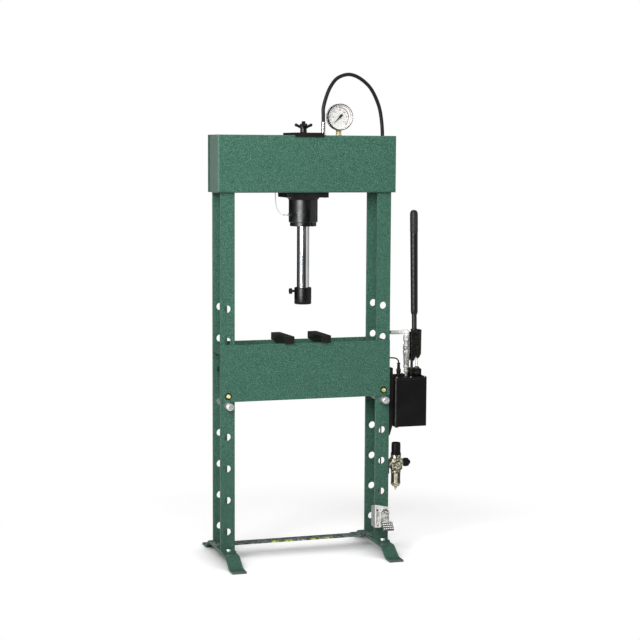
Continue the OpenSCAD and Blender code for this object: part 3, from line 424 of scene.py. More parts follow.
def block(size, centre, soften=1.0, segments=2):
    """A block in millimetres with rounded edges."""
    bm = bmesh.new()
    bmesh.ops.create_cube(bm, size=1)
    bmesh.ops.scale(bm, vec=Vector(size) / 1000, verts=bm.verts)
    bmesh.ops.bevel(
        bm, geom=bm.edges[:], offset=soften / 1000, segments=segments, affect="EDGES", profile=0.5,
        material=-1
    )
    bmesh.ops.translate(bm, vec=Vector(centre) / 1000, verts=bm.verts)
    return bm


def moved(bm, spot=(0, 0, 0), spin=(0, 0, 0)):
    """The shape turned by degrees about X, then Y, then Z, and moved to a spot in millimetres."""
    about_x, about_y, about_z = (
        Matrix.Rotation(math.radians(by), 4, axis)
        for by, axis in zip(spin, "XYZ")
    )
    turning = about_z @ about_y @ about_x
    bmesh.ops.transform(bm, matrix=Matrix.Translation(Vector(spot) / 1000) @ turning, verts=bm.verts)
    return bm


to_front, to_rear, to_left, to_right = (90, 0, 0), (-90, 0, 0), (0, -90, 0), (0, 90, 0)


def ball(across, spot):
    """A ball in millimetres."""
    bm = bmesh.new()
    bmesh.ops.create_uvsphere(bm, u_segments=32, v_segments=20, radius=across / 2000)
    bmesh.ops.translate(bm, vec=Vector(spot) / 1000, verts=bm.verts)
    return bm


def piece(name, body, finish, *shapes, stands_for=(), slot=None, sharp=35):
    """One finished piece from its shapes, riding on a body."""
    whole = bmesh.new()
    for shape in shapes:
        part = bpy.data.meshes.new(name)
        shape.to_mesh(part)
        shape.free()
        whole.from_mesh(part)
        bpy.data.meshes.remove(part)
    mesh = bpy.data.meshes.new(name)
    whole.to_mesh(mesh)
    whole.free()
    made = shown(name, mesh, finish, sharp)
    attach(made, body)
    if stands_for:
        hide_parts(*stands_for)
    return made


zinc_plate = plated("zinc_plate", (0.46, 0.47, 0.48), (0.82, 0.83, 0.84), 0.3)


def ferrule(low, length):
    """Outline of a crimped ferrule in four bands, from low upwards."""
    step = (length - 12) / 4
    outline = [(7, low), (8.6, low + 1), (8.6, low + 4)]
    for i in range(4):
        z = low + 5 + i * step
        outline += [(8.1, z), (8.1, z + step * 0.55), (8.8, z + step * 0.7), (8.8, z + step * 0.95)]
    return [*outline, (8.8, low + length - 1), (8.2, low + length), (0, low + length)]


piece(
    "hose_end_upper", "carriage", zinc_plate,
    moved(hexagon(22, 12), (18, 0, 1722)),
    moved(turned([(0, 0), (6.5, 0), *ferrule(4, 47)]), (18, 0, 1734)),
    stands_for=("hose_fitting",), slot="zinc",
)
satin_zinc = plated("satin_zinc", (0.84, 0.84, 0.83), (0.98, 0.98, 0.97), 0.5, metal=0.2)
elbow = Vector((375, -40, 918))
to_hose = Vector((332, 24, 911)) - elbow
aim_hose = to_hose.to_track_quat("Z", "Y").to_matrix().to_4x4()
lower_end = turned([(0, 2), (6, 2), (6, 17.5), *ferrule(18, to_hose.length - 18.6)])
bmesh.ops.transform(lower_end, matrix=Matrix.Translation(elbow / 1000) @ aim_hose, verts=lower_end.verts)
elbow_nut = hexagon(20, 6, low=8.5, chamfer=0.6)
bmesh.ops.transform(elbow_nut, matrix=Matrix.Translation(elbow / 1000) @ aim_hose, verts=elbow_nut.verts)
piece(
    "hose_end_lower", "frame", satin_zinc,
    lower_end, elbow_nut, ball(23, elbow),
    moved(turned([(0, 0), (10, 0), (10, 5), (9, 6), (9, 13), (0, 13)]), (375, -40, 905)),
    stands_for=("hose_elbow",), slot="zinc",
)

# ---- Leak-off tube ----
# Milky nylon tube, 4.4 mm thick, between the two nipples on the left of the cylinder.
milky_nylon, tree, shader = new_finish("milky_nylon")
out = use_group(tree, mottle, Size=0.004)
milky = shades(tree, out["Fine"], (0.35, (0.80, 0.80, 0.77)), (0.65, (0.92, 0.92, 0.90)))
dress(tree, shader, milky, out["Broad"], 0.25, 0.45)
shader.inputs["Subsurface Weight"].default_value = 0.3
shader.inputs["Subsurface Scale"].default_value = 0.003
shader.inputs["Alpha"].default_value = 0.5
leak_points = [
    (-0.147, 0, 1.408), (-0.151, 0, 1.408), (-0.163, 0, 1.413), (-0.175, 0, 1.430), (-0.182, 0, 1.456),
    (-0.184, 0, 1.490), (-0.184, 0, 1.530), (-0.182, 0, 1.562), (-0.175, 0, 1.588), (-0.163, 0, 1.605),
    (-0.151, 0, 1.610), (-0.147, 0, 1.610),
]
leak_route = smooth_route(leak_points)
leak = tube_along("leak_off_tube", leak_route, 0.0044, milky_nylon, 4)
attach(leak, "carriage")
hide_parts("leak_tube")

# ---- Posts ----
# Four upright flat bars, 60 by 12 mm, drilled every 130 mm for the table's pins, with packers in
# the beam and a tie between each pair. The whole frame is spray painted a speckled green.

# Edge mask: 1 along a sharp edge, broken up by noise, for worn edges and for painted edge highlight and
# shade. Width is in metres.
edge_mask, given, put = node_group(
    "edge_mask",
    (("Width", "NodeSocketFloat", 0.0012), ("Uneven", "NodeSocketFloat", 0.01)),
    (("Mask", "NodeSocketFloat"),),
)
rounded = edge_mask.nodes.new("ShaderNodeBevel")
rounded.samples = 4
join(edge_mask, given.outputs["Width"], rounded.inputs["Radius"])
turned_by = edge_mask.nodes.new("ShaderNodeVectorMath")
turned_by.operation = "DOT_PRODUCT"
join(edge_mask, rounded.outputs["Normal"], turned_by.inputs[0])
join(edge_mask, edge_mask.nodes.new("ShaderNodeNewGeometry").outputs["Normal"], turned_by.inputs[1])
edge = ramp_value(edge_mask, turned_by.outputs["Value"], 1.0, 0.0, 0.82, 0.985)
patches = edge_mask.nodes.new("ShaderNodeGroup")
patches.node_tree = mottle
join(edge_mask, given.outputs["Uneven"], patches.inputs["Size"])
broken = ramp_value(edge_mask, patches.outputs["Fine"], 0.25, 1.0, 0.42, 0.58)
join(edge_mask, maths(edge_mask, "MULTIPLY", edge, broken), put.inputs["Mask"])


def part_way(tree, mask, share):
    return maths(tree, "MULTIPLY", mask, share)


def edge_tone(tree, colour, bare, share, width, uneven):
    """The bare colour over the colour along the edges, in part: worn edges, and on the frame's paint a
    painted edge highlight or painted edge shade.
    """
    edge = use_group(tree, edge_mask, Width=width, Uneven=uneven)["Mask"]
    return blended(tree, part_way(tree, edge, share), colour, bare)


def places(tree):
    """X, Y and Z of the piece in metres."""
    parts = tree.nodes.new("ShaderNodeSeparateXYZ")
    join(tree, tree.nodes.new("ShaderNodeTexCoord").outputs["Object"], parts.inputs[0])
    return parts.outputs


def upward_only(tree):
    """1 on faces that look up."""
    parts = tree.nodes.new("ShaderNodeSeparateXYZ")
    join(tree, tree.nodes.new("ShaderNodeNewGeometry").outputs["Normal"], parts.inputs[0])
    return maths(tree, "GREATER_THAN", parts.outputs["Z"], 0.3)


def green_paint(name, end_sheen=0.0, pale_toes_and_bend=False, edge_wear_and_light=(0.200, 0.262, 0.222)):
    """Speckled green paint: darker and lighter drops over the green, worn thin and paler at the edges with
    a painted edge highlight there, and painted shade towards the floor.
    """
    made, tree, shader = new_finish(name)
    out = use_group(tree, mottle, Size=0.0034)
    green = shades(
        tree, out["Fine"], (0.36, (0.016, 0.062, 0.043)), (0.45, (0.038, 0.122, 0.085)),
        (0.56, (0.052, 0.156, 0.108)), (0.68, (0.115, 0.262, 0.186)),
    )
    green = blended(
        tree, ramp_value(tree, out["Broad"], 0.0, 0.22, 0.4, 0.62), green, (0.040, 0.128, 0.092),
    )
    # The edges take the edge colour: worn thin paint and a painted highlight by default, a painted shade on
    # the beam.
    green = edge_tone(tree, green, edge_wear_and_light, 0.7, 0.0022, 0.012)
    parts = places(tree)
    # Painted shade: the green darkens towards the floor.
    painted_low_shade = ramp_value(tree, parts["Z"], 0.36, 0.0, 0.03, 0.55)
    green = blended(tree, painted_low_shade, green, (0.008, 0.020, 0.015))
    if end_sheen:
        # Painted sheen: the beam's left end is paler.
        left_end = -0.4442
        at_end = maths(tree, "LESS_THAN", parts["X"], left_end)
        green = blended(tree, part_way(tree, at_end, end_sheen), green, (0.185, 0.262, 0.224))
    # Paler grey at the toes, and a painted highlight along the top of each bend.
    if pale_toes_and_bend:
        toe = ramp_value(tree, maths(tree, "ABSOLUTE", parts["Y"]), 0.0, 0.8, 0.232, 0.252)
        toe = maths(tree, "MULTIPLY", toe, ramp_value(tree, out["Fine"], 0.2, 1.0, 0.42, 0.54))
        bend = maths(tree, "ABSOLUTE", maths(tree, "SUBTRACT", maths(tree, "ABSOLUTE", parts["Y"]), 0.128))
        bend = maths(tree, "MULTIPLY", ramp_value(tree, bend, 0.75, 0.0, 0.004, 0.012), upward_only(tree))
        green = blended(tree, maths(tree, "MAXIMUM", toe, bend), green, (0.115, 0.132, 0.122))
    dress(tree, shader, green, out["Fine"], 0.38, 0.6, 0.35, 0.65)
    shader.inputs["Specular IOR Level"].default_value = 0.3
    roughen(tree, shader, out["Fine"], 0.0004)
    return made


def refinish(finish, *names):
    """Gives carried-over pieces their finish."""
    for name in names:
        node[name].data.materials.clear()
        node[name].data.materials.append(finish)


speckled_green = green_paint("speckled_green")
refinish(speckled_green, "left_post_bars", "right_post_bars", "post_packers")


def weld_bead(start, end, thick=5.0, pitch=2.6):
    """A rippled fillet weld, as overlapping drops along a line in millimetres."""
    bm = bmesh.new()
    start, end = Vector(start), Vector(end)
    count = max(2, int((end - start).length / pitch))
    lie = (end - start).to_track_quat("X", "Z").to_matrix().to_4x4()
    drop = Matrix.Diagonal((0.8, 1.0, 1.0, 1.0))
    for i in range(count + 1):
        spot = start.lerp(end, i / count)
        size = thick * (1 + 0.09 * math.sin(i * 2.3) + 0.05 * math.sin(i * 5.1))
        bmesh.ops.create_icosphere(
            bm, subdivisions=2, radius=size / 2000, matrix=Matrix.Translation(spot / 1000) @ lie @ drop
        )
    return bm


post_middles = (-401, 261)
welds = []
for x in post_middles:
    for y in (-68, -56, 56, 68):
        welds.append(weld_bead((x - 27, y, 50), (x + 27, y, 50)))
    for y in (-56, 56):
        outer = -431 if x < 0 else 291
        inward = 12 if x < 0 else -12
        welds.append(weld_bead((outer + inward, y, 854), (outer + inward, y, 881), 4))
for x in (-429, 289):
    welds.append(weld_bead((x, 10, 50), (x, 52, 50), 4.5))
piece("frame_welds", "frame", speckled_green, *welds, slot="green_paint", sharp=60)

# ---- Feet and base plates ----
# Each foot is one bent flat bar, 58 by 8 mm, that stands on its two toes. A plate welded under
# each post is bolted down on it.
refinish(green_paint("foot_green", pale_toes_and_bend=True), "left_foot", "right_foot", "base_plates")


def hex_bolt(flats, head, washer, shank, tail, nut):
    """A bolt standing on z = 0: washer and head above, shank down to tail, with a nut at its end."""
    radius = flats / 2
    return (
        turned([(0, 0), (washer, 0), (washer, 1.2), (washer - 0.5, 1.6), (0, 1.6)]),
        hexagon(flats, head, low=1.6),
        turned([(0, 1.6 + head), (radius * 0.86, 1.6 + head), (radius * 0.8, 1.8 + head), (0, 1.8 + head)]),
        turned([(0, -tail), (shank / 2 - 1, -tail), (shank / 2, -tail + 1), (shank / 2, 0.5), (0, 0.5)]),
        hexagon(flats, nut, low=-tail + 3),
    )


foot_bolt_parts = []
for x in post_middles:
    for y in (-84, 84):
        foot_bolt_parts += [moved(part, (x, y, 50)) for part in hex_bolt(17, 6.4, 10.5, 10, 25, 8)]
piece("foot_bolts_plated", "frame", zinc_plate, *foot_bolt_parts, stands_for=("foot_bolts",), slot="zinc")

# ---- Stretcher ----
# Flat bar, 50 by 6 mm, lying on both base plates. It carries plain yellow-green and pale fields
# at its middle, over the green paint.
marked_green, tree, shader = new_finish("marked_green")
out = use_group(tree, mottle, Size=0.0062)
green = shades(
    tree, out["Fine"], (0.40, (0.003, 0.008, 0.006)), (0.49, (0.018, 0.044, 0.034)),
    (0.57, (0.26, 0.31, 0.28))
)
parts = places(tree)
yellow_green, pale_field = (0.56, 0.70, 0.09), (0.55, 0.60, 0.55)
across = maths(tree, "ABSOLUTE", maths(tree, "SUBTRACT", parts["Y"], 0.002))
band = ramp_value(tree, across, 1.0, 0.0, 0.010, 0.014)
for start, end, colour in (
    (-0.193, -0.157, yellow_green), (-0.142, -0.102, yellow_green), (-0.086, -0.056, pale_field),
    (-0.027, 0.018, yellow_green), (0.036, 0.071, yellow_green),
):
    inside = maths(
        tree, "MULTIPLY", maths(tree, "GREATER_THAN", parts["X"], start),
        maths(tree, "LESS_THAN", parts["X"], end),
    )
    worn = ramp_value(tree, out["Both"], 0.0, 1.0, 0.44, 0.53)
    scuffed = maths(tree, "MULTIPLY", maths(tree, "MULTIPLY", inside, band), worn)
    green = blended(tree, scuffed, green, colour)
green = edge_tone(tree, green, (0.165, 0.215, 0.180), 0.5, 0.002, 0.012)
dress(tree, shader, green, out["Broad"], 0.4, 0.6)
shader.inputs["Specular IOR Level"].default_value = 0.3
roughen(tree, shader, out["Fine"], 0.0003)
refinish(marked_green, "stretcher")

# ---- Beam ----
# Box of 8 mm sheet, folded in two halves that meet along a seam near the rear, and open along its
# top and bottom for the carriage. Its left end is painted paler, as a painted sheen.
# Painted shade: the beam's edges are darker.
painted_edge_shade = (0.010, 0.036, 0.026)
refinish(green_paint("beam_front_green", 0.8, edge_wear_and_light=painted_edge_shade), "beam_front")
refinish(green_paint("beam_rear_green", 0.1, edge_wear_and_light=painted_edge_shade), "beam_rear")
seams = []
for x in (-445, 305):
    seams.append(weld_bead((x, 40, 1512), (x, 40, 1718), 2.4, 2.2))
seam_green = rubber("seam_green", (0.006, 0.020, 0.014), (0.24, 0.30, 0.27), 0.5, 0.012, 0.00004)
piece("beam_seam_welds", "frame", seam_green, *seams, slot="green_paint", sharp=60)

# ---- Table ----
# Two upright plates, 8 mm thick, held apart by four welded webs. It hangs on the posts and rests
# on two loose pins.
refinish(speckled_green, "table_front", "table_rear", "table_spacers")
webs = []
for x in (-353, -166.3, 26.3, 213):
    for y in (-68, 68):
        webs.append(weld_bead((x - 5, y, 678), (x - 5, y, 762), 4.5))
piece("table_welds", "table", speckled_green, *webs, slot="green_paint", sharp=60)

# Flanged hexagon bolts with a yellow-green passivated plate, low on both faces of the table.
yellow_plate, tree, shader = new_finish("yellow_plate")
out = use_group(tree, mottle, Size=0.006)
tint = shades(
    tree, out["Both"], (0.38, (0.50, 0.42, 0.05)), (0.46, (0.94, 0.94, 0.36)), (0.54, (1.0, 1.0, 0.84))
)
join(tree, tint, shader.inputs["Base Color"])
shader.inputs["Metallic"].default_value = 0.2
join(tree, ramp_value(tree, out["Fine"], 0.2, 0.42, 0.35, 0.65), shader.inputs["Roughness"])
roughen(tree, shader, out["Fine"], 0.00003)
table_bolt_parts = []
for x in post_middles:
    for y, spin in ((-77, to_front), (77, to_rear)):
        table_bolt_parts += [
            moved(part, (x, y, 684), spin)
            for part in (
                turned([(0, 0), (8.2, 0), (8.2, 1.2), (7.8, 2), (0, 2.6)]),
                hexagon(15, 7.4, low=2.4, chamfer=1.3),
                turned([(0, 9.6), (3.8, 9.6), (4.2, 9.9), (5.6, 9.9), (6.0, 9.6), (0, 9.6)]),
                turned([(0, -8), (6, -8), (6, 0.5), (0, 0.5)]),
            )
        ]
piece(
    "table_bolts_passivated", "table", yellow_plate, *table_bolt_parts, stands_for=("table_bolts",),
    slot="yellow_zinc",
)
# Dark rubber washers under the bolts, which also stand in as painted shade around their heads.
shade_washer_rings = [
    moved(turned([(8.3, 0), (14.2, 0), (14.2, 1.4), (13.4, 2), (8.3, 2), (8.3, 0)]), (x, y, 684), spin)
    for x in post_middles for y, spin in ((-77, to_front), (77, to_rear))
]
bolt_shade_washer = rubber("bolt_shade_washer", (0.004, 0.005, 0.004), (0.012, 0.014, 0.012), 0.6, 0.001, 0.00004)
piece("table_bolt_shade_washers", "table", bolt_shade_washer, *shade_washer_rings, slot="black_rubber")

# ---- Press blocks ----
# Two sawn and blackened steel bars, laid loosely across the table for the work. Their
# edges are rubbed bright in use.


def blackened(name, dark, pale, bare, rough, wear, lines=(1, 1, 1)):
    """Blackened steel, rubbed bare along its edges."""
    made, tree, shader = new_finish(name)
    out = use_group(tree, mottle, Size=0.004, Stretch=lines)
    steel = shades(tree, out["Both"], (0.38, dark), (0.62, pale))
    steel = edge_tone(tree, steel, bare, wear, 0.0018, 0.006)
    dress(tree, shader, steel, out["Fine"], rough - 0.1, rough + 0.12, 0.35, 0.65)
    shader.inputs["Metallic"].default_value = 0.6
    shader.inputs["Specular IOR Level"].default_value = 0.4
    roughen(tree, shader, out["Fine"], 0.00008)
    return made


block_steel = blackened(
    "block_steel", (0.006, 0.007, 0.006), (0.020, 0.021, 0.018), (0.26, 0.26, 0.24), 0.5, 0.7,
)
refinish(block_steel, "press_blocks")

# ---- Support pins ----
# Turned and zinc-plated bars, 29.4 mm thick, pushed through both bars of a post under the table.
# A shallow groove near the front end takes a clip.
pin_zinc = plated(
    "pin_zinc", (0.34, 0.36, 0.35), (0.78, 0.80, 0.79), 0.42, 0.006, 0.00012, (1, 0.2, 1), metal=0.75,
)
for side, x in zip(("left", "right"), post_middles):
    piece(
        side + "_pin_turned", side + "_pin", pin_zinc,
        moved(
            turned([
                (0, 0), (10.5, 0), (11.7, 0.5), (14.3, 3), (14.7, 3.6), (14.7, 11), (13.9, 11.4),
                (13.9, 13.6), (14.7, 14), (14.7, 197), (14.3, 199.5), (11.7, 202), (0, 202),
            ]),
            (x, -118, 645), to_rear,
        ),
        stands_for=(side + "_support_pin",), slot="zinc",
    )

# ---- Carriage and cylinder ----
# A black enamelled cylinder hangs from a plate that slides under the beam. A ring with pin slots
# closes its lower end, and a plate with lips lies on the beam's top.


def enamel(name, dark, pale, rough, size=0.0016, depth=0.00008, gloss=0.45, bare=(0.09, 0.09, 0.09)):
    """Black enamel with a slight orange peel, grey where the edges have rubbed."""
    made, tree, shader = new_finish(name)
    out = use_group(tree, mottle, Size=size)
    black = shades(tree, out["Both"], (0.36, dark), (0.64, pale))
    black = edge_tone(tree, black, bare, 0.5, 0.0016, 0.008)
    dress(tree, shader, black, out["Broad"], rough - 0.07, rough + 0.1, 0.35, 0.65)
    shader.inputs["Specular IOR Level"].default_value = gloss
    roughen(tree, shader, out["Fine"], depth)
    return made


black_enamel = enamel("black_enamel", (0.0030, 0.0032, 0.0034), (0.0070, 0.0072, 0.0074), 0.29)
dull_enamel = enamel("dull_enamel", (0.0050, 0.0040, 0.0040), (0.0110, 0.0095, 0.0095), 0.55, gloss=0.2)
refinish(black_enamel, "cylinder_barrel")
refinish(dull_enamel, "carriage_plate", "clamp_plate", "manifold")



def sector(whole, middle, half):
    """The sector of a turned ring that reaches half degrees to either side of its middle."""
    part = whole.copy()
    for flip in (-1, 1):
        cut_at = math.radians(middle + flip * half)
        bmesh.ops.bisect_plane(
            part, geom=part.verts[:] + part.edges[:] + part.faces[:], dist=1e-7, plane_co=(0, 0, 0),
            plane_no=(-math.sin(cut_at) * flip, math.cos(cut_at) * flip, 0), clear_outer=True,
        )
        bmesh.ops.holes_fill(part, edges=[e for e in part.edges if e.is_boundary])
    return part


ram_x = -66
ring = [
    turned([
        (31.4, 1362.5), (48, 1362.5), (49, 1363.5), (49, 1378), (39.7, 1378), (39.7, 1397.5),
        (25.2, 1397.5), (25.2, 1368), (31.4, 1368), (31.4, 1362.5),
    ], 64)
]
tooth = turned([(47, 1362), (52.5, 1362), (54, 1363.5), (54, 1378), (47, 1378), (47, 1362)], 96)
for i in range(8):
    wedge = sector(tooth, 45 * i, 17)
    bmesh.ops.recalc_face_normals(wedge, faces=wedge.faces)
    ring.append(wedge)
tooth.free()
piece(
    "gland_ring", "carriage", black_enamel, *[moved(part, (ram_x, 0, 0)) for part in ring],
    stands_for=("cylinder_gland",), slot="black_paint",
)
piece(
    "rod_wiper", "carriage",
    rubber("wiper_rubber", (0.01, 0.01, 0.01), (0.02, 0.02, 0.02), 0.6, 0.001, 0.00005),
    moved(turned([
        (25.1, 1362.6), (27, 1362), (30.6, 1362.4), (31.2, 1363), (31.2, 1367.7), (26, 1367.7),
        (25.1, 1362.6)
    ]), (ram_x, 0, 0)),
    slot="black_rubber",
)

# Slide screws: four low-headed screws in the underside of the carriage's plate.
slide_screws = []
for x in (-142, 10):
    for y in (-58, 58):
        slide_screws.append(moved(turned([
            (0, 0.6), (2.6, 0.6), (2.6, -1.2), (5.4, -1.2), (6, -0.6), (6, 0.6), (0, 0.6)
        ], 24), (x, y, 1479.5)))
piece("slide_screws", "carriage", zinc_plate, *slide_screws, slot="zinc")

# ---- Star knob and stud ----
# Moulded black knob with four arms. It screws down on a zinc-plated stud and clamps the carriage
# on the beam.


def moulded(name, dark, pale, rough, depth=0.00006, gloss=0.35):
    """Black moulded plastic with a fine grain."""
    made, tree, shader = new_finish(name)
    out = use_group(tree, mottle, Size=0.0009)
    black = shades(tree, out["Both"], (0.38, dark), (0.62, pale))
    black = edge_tone(tree, black, (0.07, 0.07, 0.07), 0.3, 0.0012, 0.004)
    dress(tree, shader, black, out["Broad"], rough - 0.08, rough + 0.1, 0.35, 0.65)
    shader.inputs["Specular IOR Level"].default_value = gloss
    roughen(tree, shader, out["Fine"], depth)
    return made


black_moulding = moulded("black_moulding", (0.0035, 0.0040, 0.0036), (0.0085, 0.0090, 0.0086), 0.36)


def melted(name, shapes, size, rounds):
    """Shapes run together into one moulding, remeshed and smoothed."""
    rough_part = piece(name + "_parts", "frame", black_moulding, *shapes)
    rough_part.parent = None
    remesh = rough_part.modifiers.new("remesh", "REMESH")
    remesh.mode, remesh.voxel_size = "VOXEL", size / 1000
    mesh = bpy.data.meshes.new_from_object(rough_part.evaluated_get(bpy.context.evaluated_depsgraph_get()))
    bpy.data.objects.remove(rough_part)
    bm = bmesh.new()
    bm.from_mesh(mesh)
    for _ in range(rounds):
        bmesh.ops.smooth_vert(
            bm, verts=bm.verts, factor=0.5, use_axis_x=True, use_axis_y=True, use_axis_z=True,
        )
    return bm


knob_parts = [
    turned(
        [(8.2, 0), (12, 0), (14, 2), (13.2, 12), (13.6, 20), (12.6, 25), (10, 26), (8.2, 26), (8.2, 0)],
        40,
    )
]
for i in range(4):
    arm = turned(
        [
            (0, 0), (6.8, 0), (6.2, 14), (5.4, 25), (6.4, 33), (6.3, 37), (4.6, 39.8), (2.2, 40.5),
            (0, 40.6),
        ],
        24,
    )
    knob_parts.append(moved(moved(arm, (0, 0, 17), (0, 66, 0)), (0, 0, 0), (0, 0, 90 * i)))
knob = melted("star_knob", knob_parts, 0.9, 3)
piece(
    "star_knob_moulded", "clamp_knob", black_moulding, moved(knob, (ram_x, 0, 1740.6)),
    stands_for=("star_knob",), slot="black_plastic", sharp=180,
)
thread = [(0, 1686), (8, 1686), (8, 1734)]
for i in range(30):
    thread += [(8, 1734 + i * 1.7), (7.1, 1734.85 + i * 1.7)]
stud_steel = blackened(
    "stud_steel", (0.006, 0.006, 0.006), (0.018, 0.018, 0.018), (0.12, 0.12, 0.12), 0.4, 0.5,
)
piece(
    "clamp_stud_threaded", "carriage", stud_steel,
    moved(turned([*thread, (8, 1785), (6.5, 1787), (0, 1787)], 32), (ram_x, 0, 0)),
    stands_for=("clamp_stud",), slot="dark_steel",
)
piece(
    "knob_washer", "clamp_knob", zinc_plate,
    moved(turned([(8.2, 0), (15.6, 0), (15.6, 0.2), (8.2, 0.2), (8.2, 0)]), (ram_x, 0, 1740.35)),
    slot="zinc",
)

# ---- Ram ----
# Hard-chromed hollow rod, 50 mm thick, with a wound return spring inside. A blackened nose with a
# socket for tools is held on it by a knurled hand screw.
hard_chrome = plated(
    "hard_chrome", (0.60, 0.61, 0.63), (0.80, 0.81, 0.83), 0.1, 0.02, 0.000004, (1, 1, 0.2),
)
refinish(hard_chrome, "piston_rod")
nose_steel = blackened(
    "nose_steel", (0.005, 0.005, 0.0055), (0.015, 0.015, 0.016), (0.20, 0.20, 0.20), 0.32, 0.6,
)
piece(
    "ram_nose_turned", "ram", nose_steel,
    moved(turned([
        (0, 1067.7), (15, 1067.7), (15, 1044.2), (16.5, 1042.7), (31.5, 1042.7), (33.8, 1043.6), (35, 1046),
        (35, 1056), (34.2, 1057), (34.2, 1059), (35, 1060), (35, 1108.4), (33.8, 1110.8), (31.5, 1111.7),
        (25.2, 1111.7), (25.2, 1086.7), (0, 1086.7), (0, 1067.7),
    ], 64), (ram_x, 0, 0)),
    stands_for=("ram_nose",), slot="dark_steel",
)


def knurled(across, length, ridges, proud):
    """A short bar about Z in millimetres with raised ridges along it."""
    bm = bmesh.new()
    bmesh.ops.create_cone(
        bm, cap_ends=True, segments=ridges * 2, radius1=across / 2000 - proud / 1000,
        radius2=across / 2000 - proud / 1000, depth=length / 1000,
        matrix=Matrix.Translation((0, 0, length / 2000)),
    )
    bm.faces.ensure_lookup_table()
    sides = [face for face in bm.faces if len(face.verts) == 4]
    sides.sort(key=lambda face: math.atan2(face.calc_center_median().y, face.calc_center_median().x))
    raised = bmesh.ops.extrude_discrete_faces(bm, faces=sides[::2])["faces"]
    for face in raised:
        outward = face.normal.copy()
        middle = face.calc_center_median()
        for corner in face.verts:
            corner.co = middle + (corner.co - middle) * 0.86 + outward * proud / 1000
    return bm


piece(
    "nose_screw_knurled", "nose_lock", nose_steel,
    moved(turned([(0, 0), (5, 0), (5, 22), (0, 22)], 32), (-91.3, 0, 1096.7), to_left),
    moved(knurled(24, 10, 18, 0.7), (-113.3, 0, 1096.7), to_left),
    stands_for=("nose_screw",), slot="dark_steel",
)
spring_line = []
for i in range(24 * 44 + 1):
    around = math.tau * i / 24
    spring_line.append(Vector((
        -0.066 + 0.0115 * math.cos(around), 0.0115 * math.sin(around), 1.1229 + 0.564 * i / (24 * 44)
    )))
spring_steel = plated("spring_steel", (0.20, 0.19, 0.18), (0.34, 0.33, 0.31), 0.35)
spring = tube_along("return_spring_wound", spring_line, 0.0045, spring_steel, 1)
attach(spring, "carriage")
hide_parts("return_spring")
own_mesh(spring)

# ---- Leak-off nipples ----
# Small turned and plated nipples, screwed into the left of the cylinder, with barbs for the tube.
nipples = []
for z in (1408, 1610):
    for part in (
        turned([(0, 0), (4, 0), (4, 10), (0, 10)], 24),
        hexagon(11, 5, low=9, chamfer=0.5),
        turned([
            (0, 13), (3, 13), (2.4, 15), (2.4, 16), (3, 18), (2.4, 19), (3, 21.5), (2.4, 22.5), (3, 25),
            (2.4, 26), (2.2, 29.7), (0, 29.7),
        ], 24),
    ):
        nipples.append(moved(part, (-117, 0, z), to_left))
piece("leak_nipples_barbed", "carriage", zinc_plate, *nipples, stands_for=("bleed_nipples",), slot="brass")

# ---- Pressure gauge ----
# Dial gauge in a black case with a polished bezel, on a brass stem. The white dial is printed with
# black marks and numbers and a red arc over the top of its range. The pointer rests on zero.
gauge_at = Vector((84, -26, 1805))
stem_brass = plated("stem_brass", (0.62, 0.50, 0.22), (0.92, 0.84, 0.56), 0.42, 0.006, metal=0.5)
refinish(stem_brass, "gauge_stem")
stem_ring = [
    moved(turned([(9, 0), (11.4, 0), (11.4, 1.4), (9, 1.4), (9, 0)], 32), (84, 0, z))
    for z in (1734.2, 1741)
]
piece("stem_rings", "carriage", stem_brass, *stem_ring, slot="brass")
case = turned([
    (0, 16.2), (48.8, 16.2), (48.8, 12.4), (50.9, 12.4), (50.9, 1.2), (52.6, 0.6), (54, 2), (54, 11.5),
    (52.4, 12.5), (52.4, 32), (51.6, 35), (49, 36), (16, 36), (15, 37.2), (0, 37.2),
], 96)
piece(
    "gauge_case_pressed", "carriage", black_enamel, moved(case, gauge_at, to_rear),
    stands_for=("gauge_case",), slot="black_paint", sharp=30,
)
bezel_steel = plated("bezel_steel", (0.80, 0.80, 0.80), (0.94, 0.94, 0.94), 0.40, 0.006, metal=0.5)
bezel = turned([
    (48.6, 12.4), (50.8, 12.4), (50.8, 2.0), (50.7, 0.9), (50.4, 0.4), (50.0, 0.4), (49.5, 0.8),
    (49.2, 2.2), (48.8, 4.4), (48.6, 6.4), (48.6, 12.4),
], 96)
piece("gauge_bezel", "carriage", bezel_steel, moved(bezel, gauge_at, to_rear), slot="chrome", sharp=30)
band = turned(
    [(52.3, 12.7), (53.4, 12.7), (53.8, 13.2), (53.8, 28.4), (53.4, 29), (52.3, 29), (52.3, 12.7)], 96,
)
piece("gauge_case_band", "carriage", bezel_steel, moved(band, gauge_at, to_rear), slot="chrome", sharp=30)

# The dial is a printed disc: its marks are thin ink on the face.
dial_print, tree, shader = new_finish("dial_print")
out = use_group(tree, mottle, Size=0.003)
card_white = shades(tree, out["Both"], (0.35, (0.74, 0.74, 0.71)), (0.65, (0.82, 0.82, 0.79)))
dress(tree, shader, card_white, out["Fine"], 0.5, 0.65)
roughen(tree, shader, out["Fine"], 0.00002)
piece(
    "gauge_dial_printed", "carriage", dial_print,
    moved(turned([(1.7, 14.5), (48.6, 14.5), (48.6, 16), (1.7, 16), (1.7, 14.5)], 96), gauge_at, to_rear),
    stands_for=("gauge_dial",), slot="dial_white",
)


def ink(name, colour, paler):
    """Screen-printed ink, slightly uneven."""
    made, tree, shader = new_finish(name)
    out = use_group(tree, mottle, Size=0.0015)
    dress(tree, shader, shades(tree, out["Both"], (0.35, colour), (0.7, paler)), out["Fine"], 0.4, 0.6)
    return made


black_ink = ink("black_ink", (0.012, 0.012, 0.012), (0.030, 0.030, 0.030))
red_ink = ink("red_ink", (0.24, 0.014, 0.012), (0.34, 0.03, 0.025))


def on_dial(bm, around):
    """Turns a mark by degrees clockwise from the top of the dial and sets it on the dial's face."""
    return moved(moved(bm, (0, 0, 0), (0, around, 0)), gauge_at)


